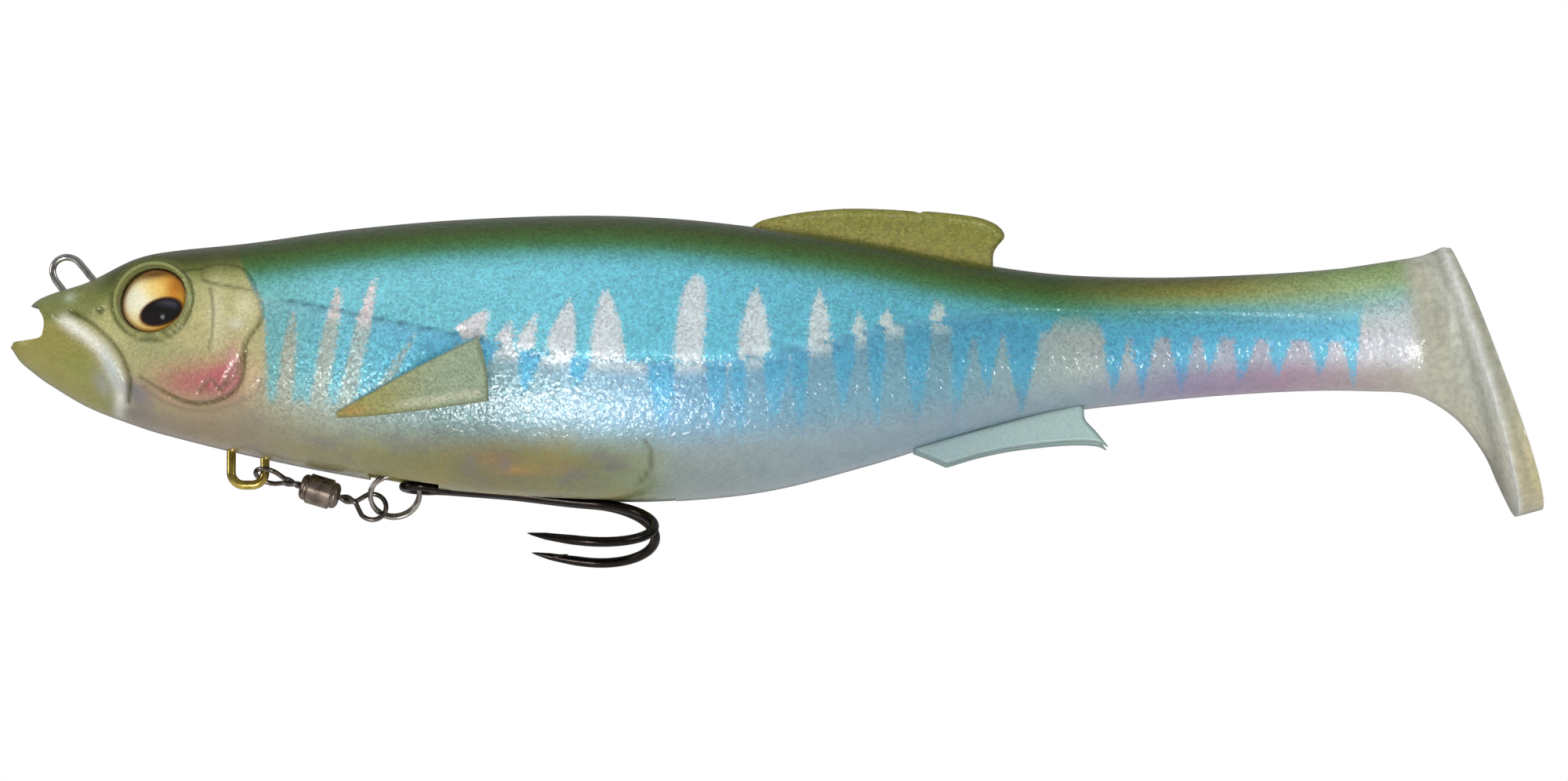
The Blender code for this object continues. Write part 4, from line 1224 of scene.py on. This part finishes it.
def add_eyes():
    base = LENS_BACK
    sphere = (EYE_RADIUS**2 + LENS_HEIGHT**2) / (2 * LENS_HEIGHT)

    def dome(radius):
        reach = radius * LENS_SHRINK
        return base + np.sqrt(np.clip(sphere**2 - reach**2, 0, None)) - (sphere - LENS_HEIGHT)

    for name, side in (("left", -1), ("right", 1)):
        place = eye_place(side)
        foil, local = lens_shape(
            f"iris_{name}", lambda r: FOIL_BACK + FOIL_THICKNESS + 0 * r,
            lambda r: FOIL_BACK + 0 * r, place, rings=70, sides=160,
        )
        up_v = place.to_3x3().inverted() @ Vector((0, 0, 1))
        turn = math.atan2(up_v.y, up_v.z)
        u = local[:, 1] * math.cos(turn) - local[:, 2] * math.sin(turn)
        v = local[:, 1] * math.sin(turn) + local[:, 2] * math.cos(turn)
        set_attribute(foil, "paint", iris_colours(u, v))
        hand_in(foil, "trunk", f"eye_foil_{name}", foil_material())
        lens, _ = lens_shape(f"cornea_{name}", dome, lambda r: base + 0 * r, place)
        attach(lens, "trunk")
        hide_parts(f"eye_lens_{name}")
        lens.data.materials.append(lens_material())


# ---------------------------------------------------------------- wires
def add_tie():
    path = curve([(x, 0.0, z) for x, z in TIE_ROUTE], 9)
    tie = wire("tie_loop", path, TIE_WIRE, sides=20)
    steel = metal_material("tie_steel", (206, 204, 200), 0.16, (120, 108, 98), 0.5)
    hand_in(tie, "trunk", "line_tie", steel)


def add_hanger():
    left, right = HANGER_X
    low = HANGER_BOTTOM + HANGER_CORNER
    route = [(left, HANGER_TOP), (left, (HANGER_TOP + low) / 2)]
    route += list(arc((left + HANGER_CORNER, low), HANGER_CORNER, 180, 270, 14))
    route += list(arc((right - HANGER_CORNER, low), HANGER_CORNER, 270, 360, 14))
    route += [(right, (HANGER_TOP + low) / 2), (right, HANGER_TOP)]
    path = evenly([(x, 0.0, z) for x, z in route], 90)
    hanger = wire("hanger_loop", path, HANGER_WIRE, sides=24)
    brass = metal_material("brass", (206, 184, 96), 0.2, (132, 108, 46), 0.7)
    hand_in(hanger, "trunk", "belly_hanger", brass)


def swivel_place(roll=0.0):
    along = Vector((math.cos(SWIVEL_SLOPE), 0, -math.sin(SWIVEL_SLOPE)))
    across = Matrix.Rotation(roll, 3, along) @ along.cross(Vector((0, 1, 0)))
    return frame_matrix(SWIVEL_HINGE, along, across)


def eye_path(neck, direction):
    """A drop-shaped loop whose two ends twist together on their way into the barrel."""
    middle = neck + direction * (SWIVEL_REACH - SWIVEL_LOOP)
    loop = [
        (middle + direction * x, y, 0.0) for x, y in arc((0, 0), SWIVEL_LOOP, -128, 128, 26)
    ]
    tail = []
    for share in np.linspace(0.1, 1, 30):
        angle = math.pi / 2 + share * math.pi * 1.75
        strand = SWIVEL_WIRE * (0.98 - 0.62 * rise(share, 0.45, 0.8))
        tail.append((
            neck + direction * (0.9 - SWIVEL_TWIST * share),
            strand * math.sin(angle),
            strand * math.cos(angle),
        ))
    other = [(x, -y, -z) for x, y, z in tail]
    path = other[::-1] + loop + tail
    return evenly(curve(path, 3), 190)


def add_swivel():
    dark = metal_material("swivel_nickel", (128, 120, 114), 0.22, (56, 50, 48), 0.7)
    for name, replaced, neck, direction, roll in SWIVEL_NECKS:
        path = placed(eye_path(neck, direction), swivel_place(roll))
        eye = wire(f"swivel_{name}_loop", path, SWIVEL_WIRE, sides=14)
        hand_in(eye, "swivel", replaced, dark)
    half = BARREL_LENGTH / 2
    outer = []
    for sign in (-1, 1):
        lip = [
            (half, BARREL_HOLE), (half, 1.05), (half - 0.08, 1.3), (half - 0.26, 1.55),
            (half - 0.5, 1.7), (half - 0.72, 1.72), (half - 0.82, 1.66),
            (half - 0.92, 1.72), (half - 1.1, BARREL_RADIUS), (half - 1.4, BARREL_RADIUS),
        ]
        lip = [(sign * x, r) for x, r in lip]
        outer += lip if sign < 0 else lip[::-1]
    profile = np.array(outer)
    profile[:, 0] += BARREL_MIDDLE
    barrel = solid("swivel_drum", turned(profile), swivel_place(), 50, closed_path=True)
    drum = metal_material("drum_nickel", (146, 132, 120), 0.3, (84, 74, 68), 0.8)
    hand_in(barrel, "barrel", "swivel_barrel", drum)


def add_ring():
    along = Vector((math.cos(RING_ROLL), 0, math.sin(RING_ROLL)))
    up = Vector((-math.sin(RING_ROLL), 0, math.cos(RING_ROLL)))
    up = up * math.cos(RING_TILT) - Vector((0, 1, 0)) * math.sin(RING_TILT)
    place = frame_matrix(RING_MIDDLE, along, up)
    turns = np.linspace(0, RING_TURNS, 90 * RING_TURNS)
    angles = 2 * math.pi * (turns + RING_START)
    rise_by = RING_PITCH * (turns - RING_TURNS / 2)
    rows = []
    section = round_section(1.0, 16)
    flat = np.sign(section) * np.abs(section) ** 0.95
    ends = np.minimum(1, 0.35 + 9 * np.minimum(turns, RING_TURNS - turns))
    for angle, lift, size in zip(angles, rise_by, ends):
        out = np.array([math.cos(angle), math.sin(angle), 0])
        rows.append(
            out * RING_RADIUS + (0, 0, lift)
            + size * RING_WIRE * (flat[:, :1] * out + flat[:, 1:] * np.array([0, 0, 0.96]))
        )
    ring = solid("ring_coil", rows, place, 50)
    steel = metal_material("ring_steel", (176, 168, 160), 0.2, (104, 94, 88), 0.6)
    hand_in(ring, "ring", "split_ring", steel)


# ---------------------------------------------------------------- treble hook
def hook_bend():
    """The bend and point in the plane of one hook: (along, out) rows, shank to tip."""
    middle = (HOOK_LEG + HOOK_GAP) / 2
    height = (HOOK_GAP - HOOK_LEG) / 2
    angles = np.linspace(-math.pi / 2, math.pi / 2, BEND_POINTS)
    rows = [
        (HOOK_BEND_START + HOOK_BEND_LENGTH * math.cos(a), middle + height * math.sin(a))
        for a in angles
    ]
    end_along, end_out = rows[-1]
    for share in np.linspace(0, 1, TIP_POINTS)[1:]:
        rows.append((
            end_along + (HOOK_TIP[0] - end_along) * share,
            end_out + (HOOK_TIP[1] - end_out) * share**1.6,
        ))
    return np.array(rows)


def hook_radii(rows):
    """Full wire, then a long taper to the needle point."""
    to_tip = np.linalg.norm(rows - rows[-1], axis=1)
    beyond = np.arange(len(rows)) > BEND_POINTS
    taper = np.interp(to_tip, [0, 0.5, 2.5, 6.0], [0.04, 0.26, 0.72, 1.0])
    return np.where(beyond, taper, 1.0)


def in_hook_plane(rows, angle):
    out = (math.cos(math.radians(angle)), math.sin(math.radians(angle)))
    return np.array([(along, reach * out[0], reach * out[1]) for along, reach in rows])


def barb(angle):
    """A small raised cut on the inner side of a point."""
    bend = hook_bend()
    to_tip = np.linalg.norm(bend - bend[-1], axis=1)
    first = BEND_POINTS + 1
    start = first + int(np.argmin(np.abs(to_tip[first:] - BARB_FROM_TIP)))
    tip = bend[start]
    back = bend[start - 5]
    ahead = bend[min(start + 6, len(bend) - 1)]
    inward = np.array([0, -1.0])
    spine = [ahead + inward * 0.1, tip + inward * 0.25, back + inward * 1.15]
    path = in_hook_plane(evenly(curve(spine, 6), 12), angle)
    radii = np.interp(np.linspace(0, 1, 12), [0, 0.5, 1], [0.1, 0.34, 0.05])
    return sweep_rows(path, round_section(1.0, 12), radii)


def add_hook():
    place = shank_place(rolled=True)
    steel = metal_material("hook_steel", (52, 47, 44), 0.2, (26, 22, 21), 0.5)
    section = round_section(HOOK_WIRE, 18)
    bend = hook_bend()
    radii = hook_radii(bend)
    start = HOOK_EYE_RADIUS + 1.6
    lead_in = np.array([(x, HOOK_LEG) for x in np.linspace(start, HOOK_BEND_START, 24)[:-1]])
    single = in_hook_plane(np.concatenate([lead_in, bend]), 90)
    sizes = np.concatenate([np.interp(lead_in[:, 0], [start, start + 7.0], [0.12, 1]), radii])
    item = solid("hook_upright", sweep_rows(single, section, sizes), place, 60)
    add_helper(item, barb(90), place)
    hand_in(item, "hook", "hook_single", steel)

    left = in_hook_plane(bend, 210)
    right = in_hook_plane(bend, 330)
    level = left[0][2]
    leg = abs(left[0][1])
    eye_start = math.degrees(math.asin(leg / HOOK_EYE_RADIUS)) + 12
    eye = [
        (x, y, 0.0) for x, y in arc((0, 0), HOOK_EYE_RADIUS, -eye_start, eye_start - 360, 46)
    ]
    join = HOOK_EYE_RADIUS + 1.2
    shank = np.linspace(join, HOOK_BEND_START, 22)[:-1]
    drop = level * rise(shank, *SHANK_DROP)
    lead_left = np.column_stack([shank, np.full(len(shank), -leg), drop])
    lead_right = lead_left * (1, -1, 1)
    middle = evenly(curve([lead_left[0]] + eye + [lead_right[0]], 2), 96)
    path = np.concatenate([left[::-1], lead_left[::-1], middle[1:-1], lead_right, right])
    flat = np.ones(len(path) - 2 * len(bend))
    sizes = np.concatenate([radii[::-1], flat, radii])
    item = solid("hook_pair", sweep_rows(path, section, sizes), place, 60)
    for angle in (210, 330):
        add_helper(item, barb(angle), place)
    braze = [(x, 0.0, 0.2) for x in np.linspace(BRAZE_START, HOOK_BEND_START - 1.5, 30)]
    swell = np.interp(np.linspace(0, 1, 30), [0, 0.12, 0.85, 1], [0.25, 0.62, 0.62, 0.2])
    add_helper(item, sweep_rows(braze, round_section(1.0, 14), swell), place)
    hand_in(item, "hook", "hook_double", steel)


def add_helper(item, rows, place):
    """Joins a small solid to a hook."""
    combine(item, solid("helper", rows, place), "UNION", crease=60)


# ---------------------------------------------------------------- materials
def new_material(name):
    material = bpy.data.materials.new(name)
    material.use_nodes = True
    tree = material.node_tree
    tree.nodes.clear()
    return material, tree


def node(tree, kind, inputs=(), **settings):
    """A node with settings, and inputs as (socket, value or output) pairs."""
    made = tree.nodes.new(kind)
    for key, value in settings.items():
        setattr(made, key, value)
    for socket, value in inputs:
        if isinstance(value, bpy.types.NodeSocket):
            tree.links.new(value, made.inputs[socket])
        else:
            made.inputs[socket].default_value = value
    return made


def math_node(tree, operation, first, second=0.0, clamp=False):
    made = node(tree, "ShaderNodeMath", [(0, first), (1, second)], operation=operation)
    made.use_clamp = clamp
    return made.outputs[0]


def mix_colour(tree, factor, first, second, blend="MIX"):
    made = node(
        tree, "ShaderNodeMix", [("Factor", factor), (6, first), (7, second)],
        data_type="RGBA", blend_type=blend,
    )
    return made.outputs[2]


def mix_shaders(tree, share, first, second):
    inputs = [(0, share), (1, first.outputs[0]), (2, second.outputs[0])]
    return node(tree, "ShaderNodeMixShader", inputs)


def brighten(tree, colour, gain):
    """Multiplies a colour by a number."""
    grey = node(tree, "ShaderNodeCombineColor", [(0, gain), (1, gain), (2, gain)]).outputs[0]
    return mix_colour(tree, 1.0, colour, grey, "MULTIPLY")


def vector_node(tree, operation, *inputs):
    return node(tree, "ShaderNodeVectorMath", inputs, operation=operation).outputs[0]


def solid_colour(colour):
    """A display colour as a socket takes it."""
    return (*srgb(*colour), 1.0)


def attribute(tree, name, output):
    return node(tree, "ShaderNodeAttribute", attribute_name=name).outputs[output]


def remap(tree, value, low, high, to_low, to_high):
    inputs = [(0, value), (1, low), (2, high), (3, to_low), (4, to_high)]
    return node(tree, "ShaderNodeMapRange", inputs).outputs[0]


def surface(tree, inputs):
    shader = node(tree, "ShaderNodeBsdfPrincipled", inputs)
    node(tree, "ShaderNodeOutputMaterial", [("Surface", shader.outputs[0])])
    return shader


def noise(tree, place, scale, detail=2.0, rough=0.5):
    inputs = [("Vector", place), ("Scale", scale), ("Detail", detail), ("Roughness", rough)]
    return node(tree, "ShaderNodeTexNoise", inputs)


def flakes(tree, place, scale):
    """Random cells, one for each flake of glitter."""
    inputs = [("Vector", place), ("Scale", scale)]
    return node(tree, "ShaderNodeTexVoronoi", inputs).outputs["Color"]


def tilted_normal(tree, cells, amount):
    """The surface normal, tipped at random for each flake."""
    away = vector_node(tree, "SUBTRACT", (0, cells), (1, (0.5, 0.5, 0.5)))
    scaled = vector_node(tree, "SCALE", (0, away), ("Scale", amount))
    normal = node(tree, "ShaderNodeNewGeometry").outputs["Normal"]
    total = vector_node(tree, "ADD", (0, scaled), (1, normal))
    return vector_node(tree, "NORMALIZE", (0, total))


FLAKE_SCALE = 3.4
EDGE_NOISE = 0.42


@functools.cache
def skin_material():
    """Airbrushed pearl paint with fine glitter, over soft clear rubber at the tail."""
    material, tree = new_material("skin")
    rest = attribute(tree, "rest", "Vector")
    field = attribute(tree, "blue", "Fac")
    ragged = noise(tree, rest, 2.6, 3.0).outputs[0]
    shift = remap(tree, ragged, 0.3, 0.7, -EDGE_NOISE, EDGE_NOISE)
    edge = math_node(tree, "ADD", field, shift)
    inside = remap(tree, edge, -0.3, 0.35, 0.0, 1.0)
    inside = math_node(tree, "MULTIPLY", inside, attribute(tree, "cover", "Fac"))
    colour = mix_colour(
        tree, inside, attribute(tree, "paint", "Color"), attribute(tree, "flank", "Color")
    )
    cells = flakes(tree, rest, FLAKE_SCALE)
    spark = attribute(tree, "spark", "Fac")
    parts = node(tree, "ShaderNodeSeparateColor", [(0, cells)])
    light = remap(tree, parts.outputs[0], 0.0, 1.0, -0.2, 0.34)
    light = math_node(tree, "MULTIPLY", light, spark)
    cloud = noise(tree, rest, 0.35, 4.0).outputs[0]
    mottle = remap(tree, cloud, 0.3, 0.7, -0.06, 0.06)
    bubbles = remap(tree, noise(tree, rest, 1.1, 2.0).outputs[0], 0.35, 0.65, -0.12, 0.1)
    bubbles = math_node(tree, "MULTIPLY", bubbles, attribute(tree, "clear", "Fac"))
    mottle = math_node(tree, "ADD", mottle, bubbles)
    gain = math_node(tree, "ADD", math_node(tree, "ADD", light, mottle), 1.0)
    colour = brighten(tree, colour, gain)
    hue = remap(tree, parts.outputs[1], 0.0, 1.0, 0.485, 0.515)
    colour = node(tree, "ShaderNodeHueSaturation", [("Hue", hue), ("Color", colour)]).outputs[0]
    clear = attribute(tree, "clear", "Fac")
    blotch = noise(tree, rest, 0.16, 3.0)
    golden = remap(tree, blotch.outputs[0], 0.5, 0.66, 0.0, 1.6)
    golden = math_node(tree, "MULTIPLY", golden, attribute(tree, "blotch", "Fac"), clamp=True)
    colour = mix_colour(tree, golden, colour, solid_colour((152, 138, 66)))
    dusky = remap(tree, blotch.outputs[0], 0.46, 0.34, 0.0, 1.4)
    dusky = math_node(tree, "MULTIPLY", dusky, attribute(tree, "blotch", "Fac"), clamp=True)
    colour = mix_colour(tree, dusky, colour, solid_colour((122, 116, 122)))
    roughness = remap(tree, parts.outputs[2], 0.0, 1.0, 0.30, 0.52)
    metallic = math_node(tree, "MULTIPLY", spark, 0.2)
    normal = tilted_normal(tree, cells, math_node(tree, "MULTIPLY", spark, 0.2))
    lumps = noise(tree, rest, 1.1, 2.0).outputs[0]
    peel = [("Strength", 0.5), ("Distance", 0.0003), ("Height", lumps)]
    gloss_normal = node(tree, "ShaderNodeBump", peel).outputs[0]
    pebble = math_node(tree, "ADD", math_node(tree, "MULTIPLY", clear, 0.12), 0.12)
    peel = [("Strength", pebble), ("Distance", 0.0003), ("Height", lumps), ("Normal", normal)]
    bumped = node(tree, "ShaderNodeBump", peel).outputs[0]
    surface(tree, [
        ("Base Color", colour), ("Roughness", roughness), ("Metallic", metallic),
        ("Normal", bumped), ("Subsurface Weight", math_node(tree, "MULTIPLY", clear, 0.75)),
        ("Subsurface Radius", (1.0, 0.9, 0.7)), ("Subsurface Scale", 0.0022),
        ("Coat Weight", 0.9), ("Coat Roughness", 0.12), ("Coat Normal", gloss_normal),
        ("IOR", 1.35),
    ])
    return material


@functools.cache
def fin_material(name, glitter, rim_colour, rim_share):
    """Soft coloured rubber with glitter and a darker moulded rim."""
    material, tree = new_material(name)
    rest = attribute(tree, "rest", "Vector")
    cells = flakes(tree, rest, FLAKE_SCALE * 1.1)
    parts = node(tree, "ShaderNodeSeparateColor", [(0, cells)])
    gain = remap(tree, parts.outputs[0], 0.0, 1.0, 1 - 0.25 * glitter, 1 + 0.4 * glitter)
    colour = brighten(tree, attribute(tree, "paint", "Color"), gain)
    rim = math_node(tree, "MULTIPLY", attribute(tree, "rim", "Fac"), rim_share)
    colour = mix_colour(tree, rim, colour, solid_colour(rim_colour))
    streak = remap(tree, noise(tree, rest, 0.7, 3.0).outputs[0], 0.45, 0.75, 0.0, 0.12)
    colour = mix_colour(tree, streak, colour, solid_colour((196, 192, 140)))
    roughness = remap(tree, parts.outputs[2], 0.0, 1.0, 0.32, 0.55)
    surface(tree, [
        ("Base Color", colour), ("Roughness", roughness), ("Metallic", 0.1),
        ("Normal", tilted_normal(tree, cells, 0.22 * glitter)), ("Subsurface Weight", 0.35),
        ("Subsurface Radius", (1.0, 0.9, 0.6)), ("Subsurface Scale", 0.0015),
        ("Coat Weight", 0.25), ("Coat Roughness", 0.25), ("IOR", 1.42),
    ])
    return material


@functools.cache
def foil_material():
    """Holographic foil in its printed colours, with painted highlights and shade, and a fine
    grain in its brightness and gloss.
    """
    material, tree = new_material("foil")
    rest = attribute(tree, "rest", "Vector")
    grain = noise(tree, rest, 5.0, 3.0)
    gain = remap(tree, grain.outputs[0], 0.3, 0.7, 0.85, 1.12)
    colour = brighten(tree, attribute(tree, "paint", "Color"), gain)
    roughness = remap(tree, grain.outputs[0], 0.3, 0.7, 0.25, 0.42)
    surface(tree, [
        ("Base Color", colour), ("Roughness", roughness), ("Metallic", 0.0),
        ("Specular IOR Level", 0.4),
    ])
    return material


@functools.cache
def lens_material():
    """Clear domed resin: light passes, and its front shines."""
    material, tree = new_material("lens")
    clear = node(tree, "ShaderNodeBsdfTransparent", [("Color", (0.98, 0.97, 0.93, 1.0))])
    shine = node(tree, "ShaderNodeBsdfGlossy", [("Roughness", 0.06)])
    facing = node(tree, "ShaderNodeFresnel", [("IOR", 1.16)])
    mixed = mix_shaders(tree, facing.outputs[0], clear, shine)
    node(tree, "ShaderNodeOutputMaterial", [("Surface", mixed.outputs[0])])
    return material


def worn(tree, place, scales, colours, patch_range, rough, metallic, dents):
    """A surface with patches of a second colour, uneven gloss and small dents.

    Dents: strength, depth in metres, and whether they follow the fine noise or the large.
    """
    large, small = scales
    clouds = noise(tree, place, large, 4.0, 0.6).outputs[0]
    fine = noise(tree, place, small, 2.0).outputs[0]
    share = remap(tree, clouds, *patch_range)
    base = mix_colour(tree, share, solid_colour(colours[0]), solid_colour(colours[1]))
    strength, depth, follows_fine = dents
    height = fine if follows_fine else clouds
    inputs = [("Strength", strength), ("Distance", depth), ("Height", height)]
    surface(tree, [
        ("Base Color", base),
        ("Roughness", remap(tree, fine, 0.3, 0.7, rough * 0.8, rough * 1.3)),
        ("Metallic", metallic),
        ("Normal", node(tree, "ShaderNodeBump", inputs).outputs[0]),
    ])


@functools.cache
def metal_material(name, colour, roughness, tarnish, spread):
    """Drawn wire or turned metal: fine streaks, darker tarnish and small wear marks."""
    material, tree = new_material(name)
    rest = attribute(tree, "rest", "Vector")
    worn(
        tree, rest, (0.8, 4.0), (colour, tarnish), (0.42, 0.68, 0.0, spread), roughness, 1.0,
        dents=(0.1, 0.00003, True),
    )
    return material


def cad_material(name, colour, roughness, metallic, patch, patch_share):
    """For frame parts that keep their own mesh: cast lead, clear plastic, plated magnet."""
    material, tree = new_material(name)
    place = node(tree, "ShaderNodeTexCoord").outputs["Object"]
    worn(
        tree, place, (900.0, 5000.0), (colour, patch), (0.4, 0.7, 0.0, patch_share), roughness,
        metallic, dents=(0.2, 0.0001, False),
    )
    return material


def dress_inner_parts():
    lead = cad_material("cast_lead", (128, 130, 136), 0.55, 0.9, (84, 86, 92), 0.8)
    plastic = cad_material("frame_plastic", (196, 198, 160), 0.3, 0.0, (168, 166, 118), 0.6)
    copper = cad_material("plated_magnet", (206, 140, 92), 0.25, 1.0, (150, 96, 62), 0.6)
    for name, material in (
        ("head_weight", lead), ("belly_frame", plastic),
        ("magnet_front", copper), ("magnet_rear", copper),
    ):
        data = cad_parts[name].data
        data.materials.clear()
        data.materials.append(material)


# ---------------------------------------------------------------- stage, light and camera
TARGET = (93.0, 0.0, -15.0)
CAMERA_DISTANCE = 1025.0
CAMERA_ELEVATION = math.radians(-5.0)
LENS_MM = 180.0
SENSOR_MM = 36.0
FLOOR_Z = -450.0
BACKGROUND = 1.0
AMBIENT_LOW = 0.12
AMBIENT_HIGH = 0.34
FLOOR_HALF = 4000.0
# Soft boxes: name, azimuth, elevation, distance, size, power, seen in reflections.
LIGHTS = (
    ("front_box", -3, -18, 800, (130, 200), 1.7, True),
    ("key_box", -28, 36, 1100, (700, 500), 4.6, False),
    ("nose_box", -75, 12, 900, (420, 420), 1.6, True),
    ("tail_box", 62, 18, 1100, (420, 520), 1.6, True),
    ("back_box", 180, 24, 1100, (800, 500), 4.0, False),
)


def add_camera():
    data = bpy.data.cameras.new("camera")
    data.lens = LENS_MM
    data.sensor_width = SENSOR_MM
    camera = bpy.data.objects.new("camera", data)
    bpy.context.scene.collection.objects.link(camera)
    target = Vector(TARGET) * MM
    back = Vector((0, -math.cos(CAMERA_ELEVATION), math.sin(CAMERA_ELEVATION)))
    camera.location = target + back * CAMERA_DISTANCE * MM
    camera.rotation_euler = (-back).to_track_quat("-Z", "Y").to_euler()
    data.clip_start = 0.01
    data.clip_end = 20.0
    bpy.context.scene.camera = camera


def add_light(name, azimuth, elevation, distance, size, power, glossy):
    """A soft box that looks at the lure. Azimuth 0 is in front of the left flank."""
    data = bpy.data.lights.new(name, "AREA")
    data.shape = "RECTANGLE"
    data.size = size[0] * MM
    data.size_y = size[1] * MM
    data.energy = power
    light = bpy.data.objects.new(name, data)
    bpy.context.scene.collection.objects.link(light)
    a, e = math.radians(azimuth), math.radians(elevation)
    back = Vector((math.sin(a) * math.cos(e), -math.cos(a) * math.cos(e), math.sin(e)))
    light.location = (Vector(TARGET) + back * distance) * MM
    light.rotation_euler = (-back).to_track_quat("-Z", "Y").to_euler()
    light.visible_camera = False
    light.visible_glossy = glossy


def add_stage():
    ways = ((-1, -1), (1, -1), (1, 1), (-1, 1))
    corners = [(x * FLOOR_HALF, y * FLOOR_HALF, FLOOR_Z) for x, y in ways]
    data = bpy.data.meshes.new("floor")
    data.from_pydata((np.array(corners) * MM).tolist(), [], [(0, 1, 2, 3)])
    floor = bpy.data.objects.new("floor", data)
    bpy.context.scene.collection.objects.link(floor)
    material, tree = new_material("floor")
    paper = node(tree, "ShaderNodeBsdfDiffuse", [("Color", (0.86, 0.86, 0.86, 1.0))])
    under = node(tree, "ShaderNodeBsdfTransparent")
    seen = node(tree, "ShaderNodeEmission", [("Color", (1.0, 1.0, 1.0, 1.0))])
    watched = node(tree, "ShaderNodeLightPath").outputs["Is Camera Ray"]
    pale = mix_shaders(tree, math_node(tree, "MULTIPLY", watched, 0.88), paper, seen)
    side = node(tree, "ShaderNodeNewGeometry").outputs["Backfacing"]
    mixed = mix_shaders(tree, side, pale, under)
    node(tree, "ShaderNodeOutputMaterial", [("Surface", mixed.outputs[0])])
    data.materials.append(material)


def add_world():
    world = bpy.data.worlds.new("studio")
    bpy.context.scene.world = world
    world.use_nodes = True
    tree = world.node_tree
    tree.nodes.clear()
    seen = node(tree, "ShaderNodeBackground", [("Color", (1, 1, 1, 1)), ("Strength", BACKGROUND)])
    toward = node(tree, "ShaderNodeTexCoord").outputs["Generated"]
    height = node(tree, "ShaderNodeSeparateXYZ", [(0, toward)]).outputs[2]
    slope = math_node(tree, "ABSOLUTE", height)
    strength = remap(tree, slope, 0.0, 0.7, AMBIENT_LOW, AMBIENT_HIGH)
    lit = node(tree, "ShaderNodeBackground", [("Color", (1, 1, 1, 1)), ("Strength", strength)])
    ray = node(tree, "ShaderNodeLightPath").outputs["Is Camera Ray"]
    mixed = mix_shaders(tree, ray, lit, seen)
    node(tree, "ShaderNodeOutputWorld", [("Surface", mixed.outputs[0])])


def add_studio():
    bpy.context.scene.view_settings.view_transform = "Standard"
    add_camera()
    add_stage()
    add_world()
    for light in LIGHTS:
        add_light(*light)


add_studio()
add_skins()
add_dorsal()
add_anals()
add_pectorals()
add_eyes()
add_tie()
add_hanger()
add_swivel()
add_ring()
add_hook()
dress_inner_parts()
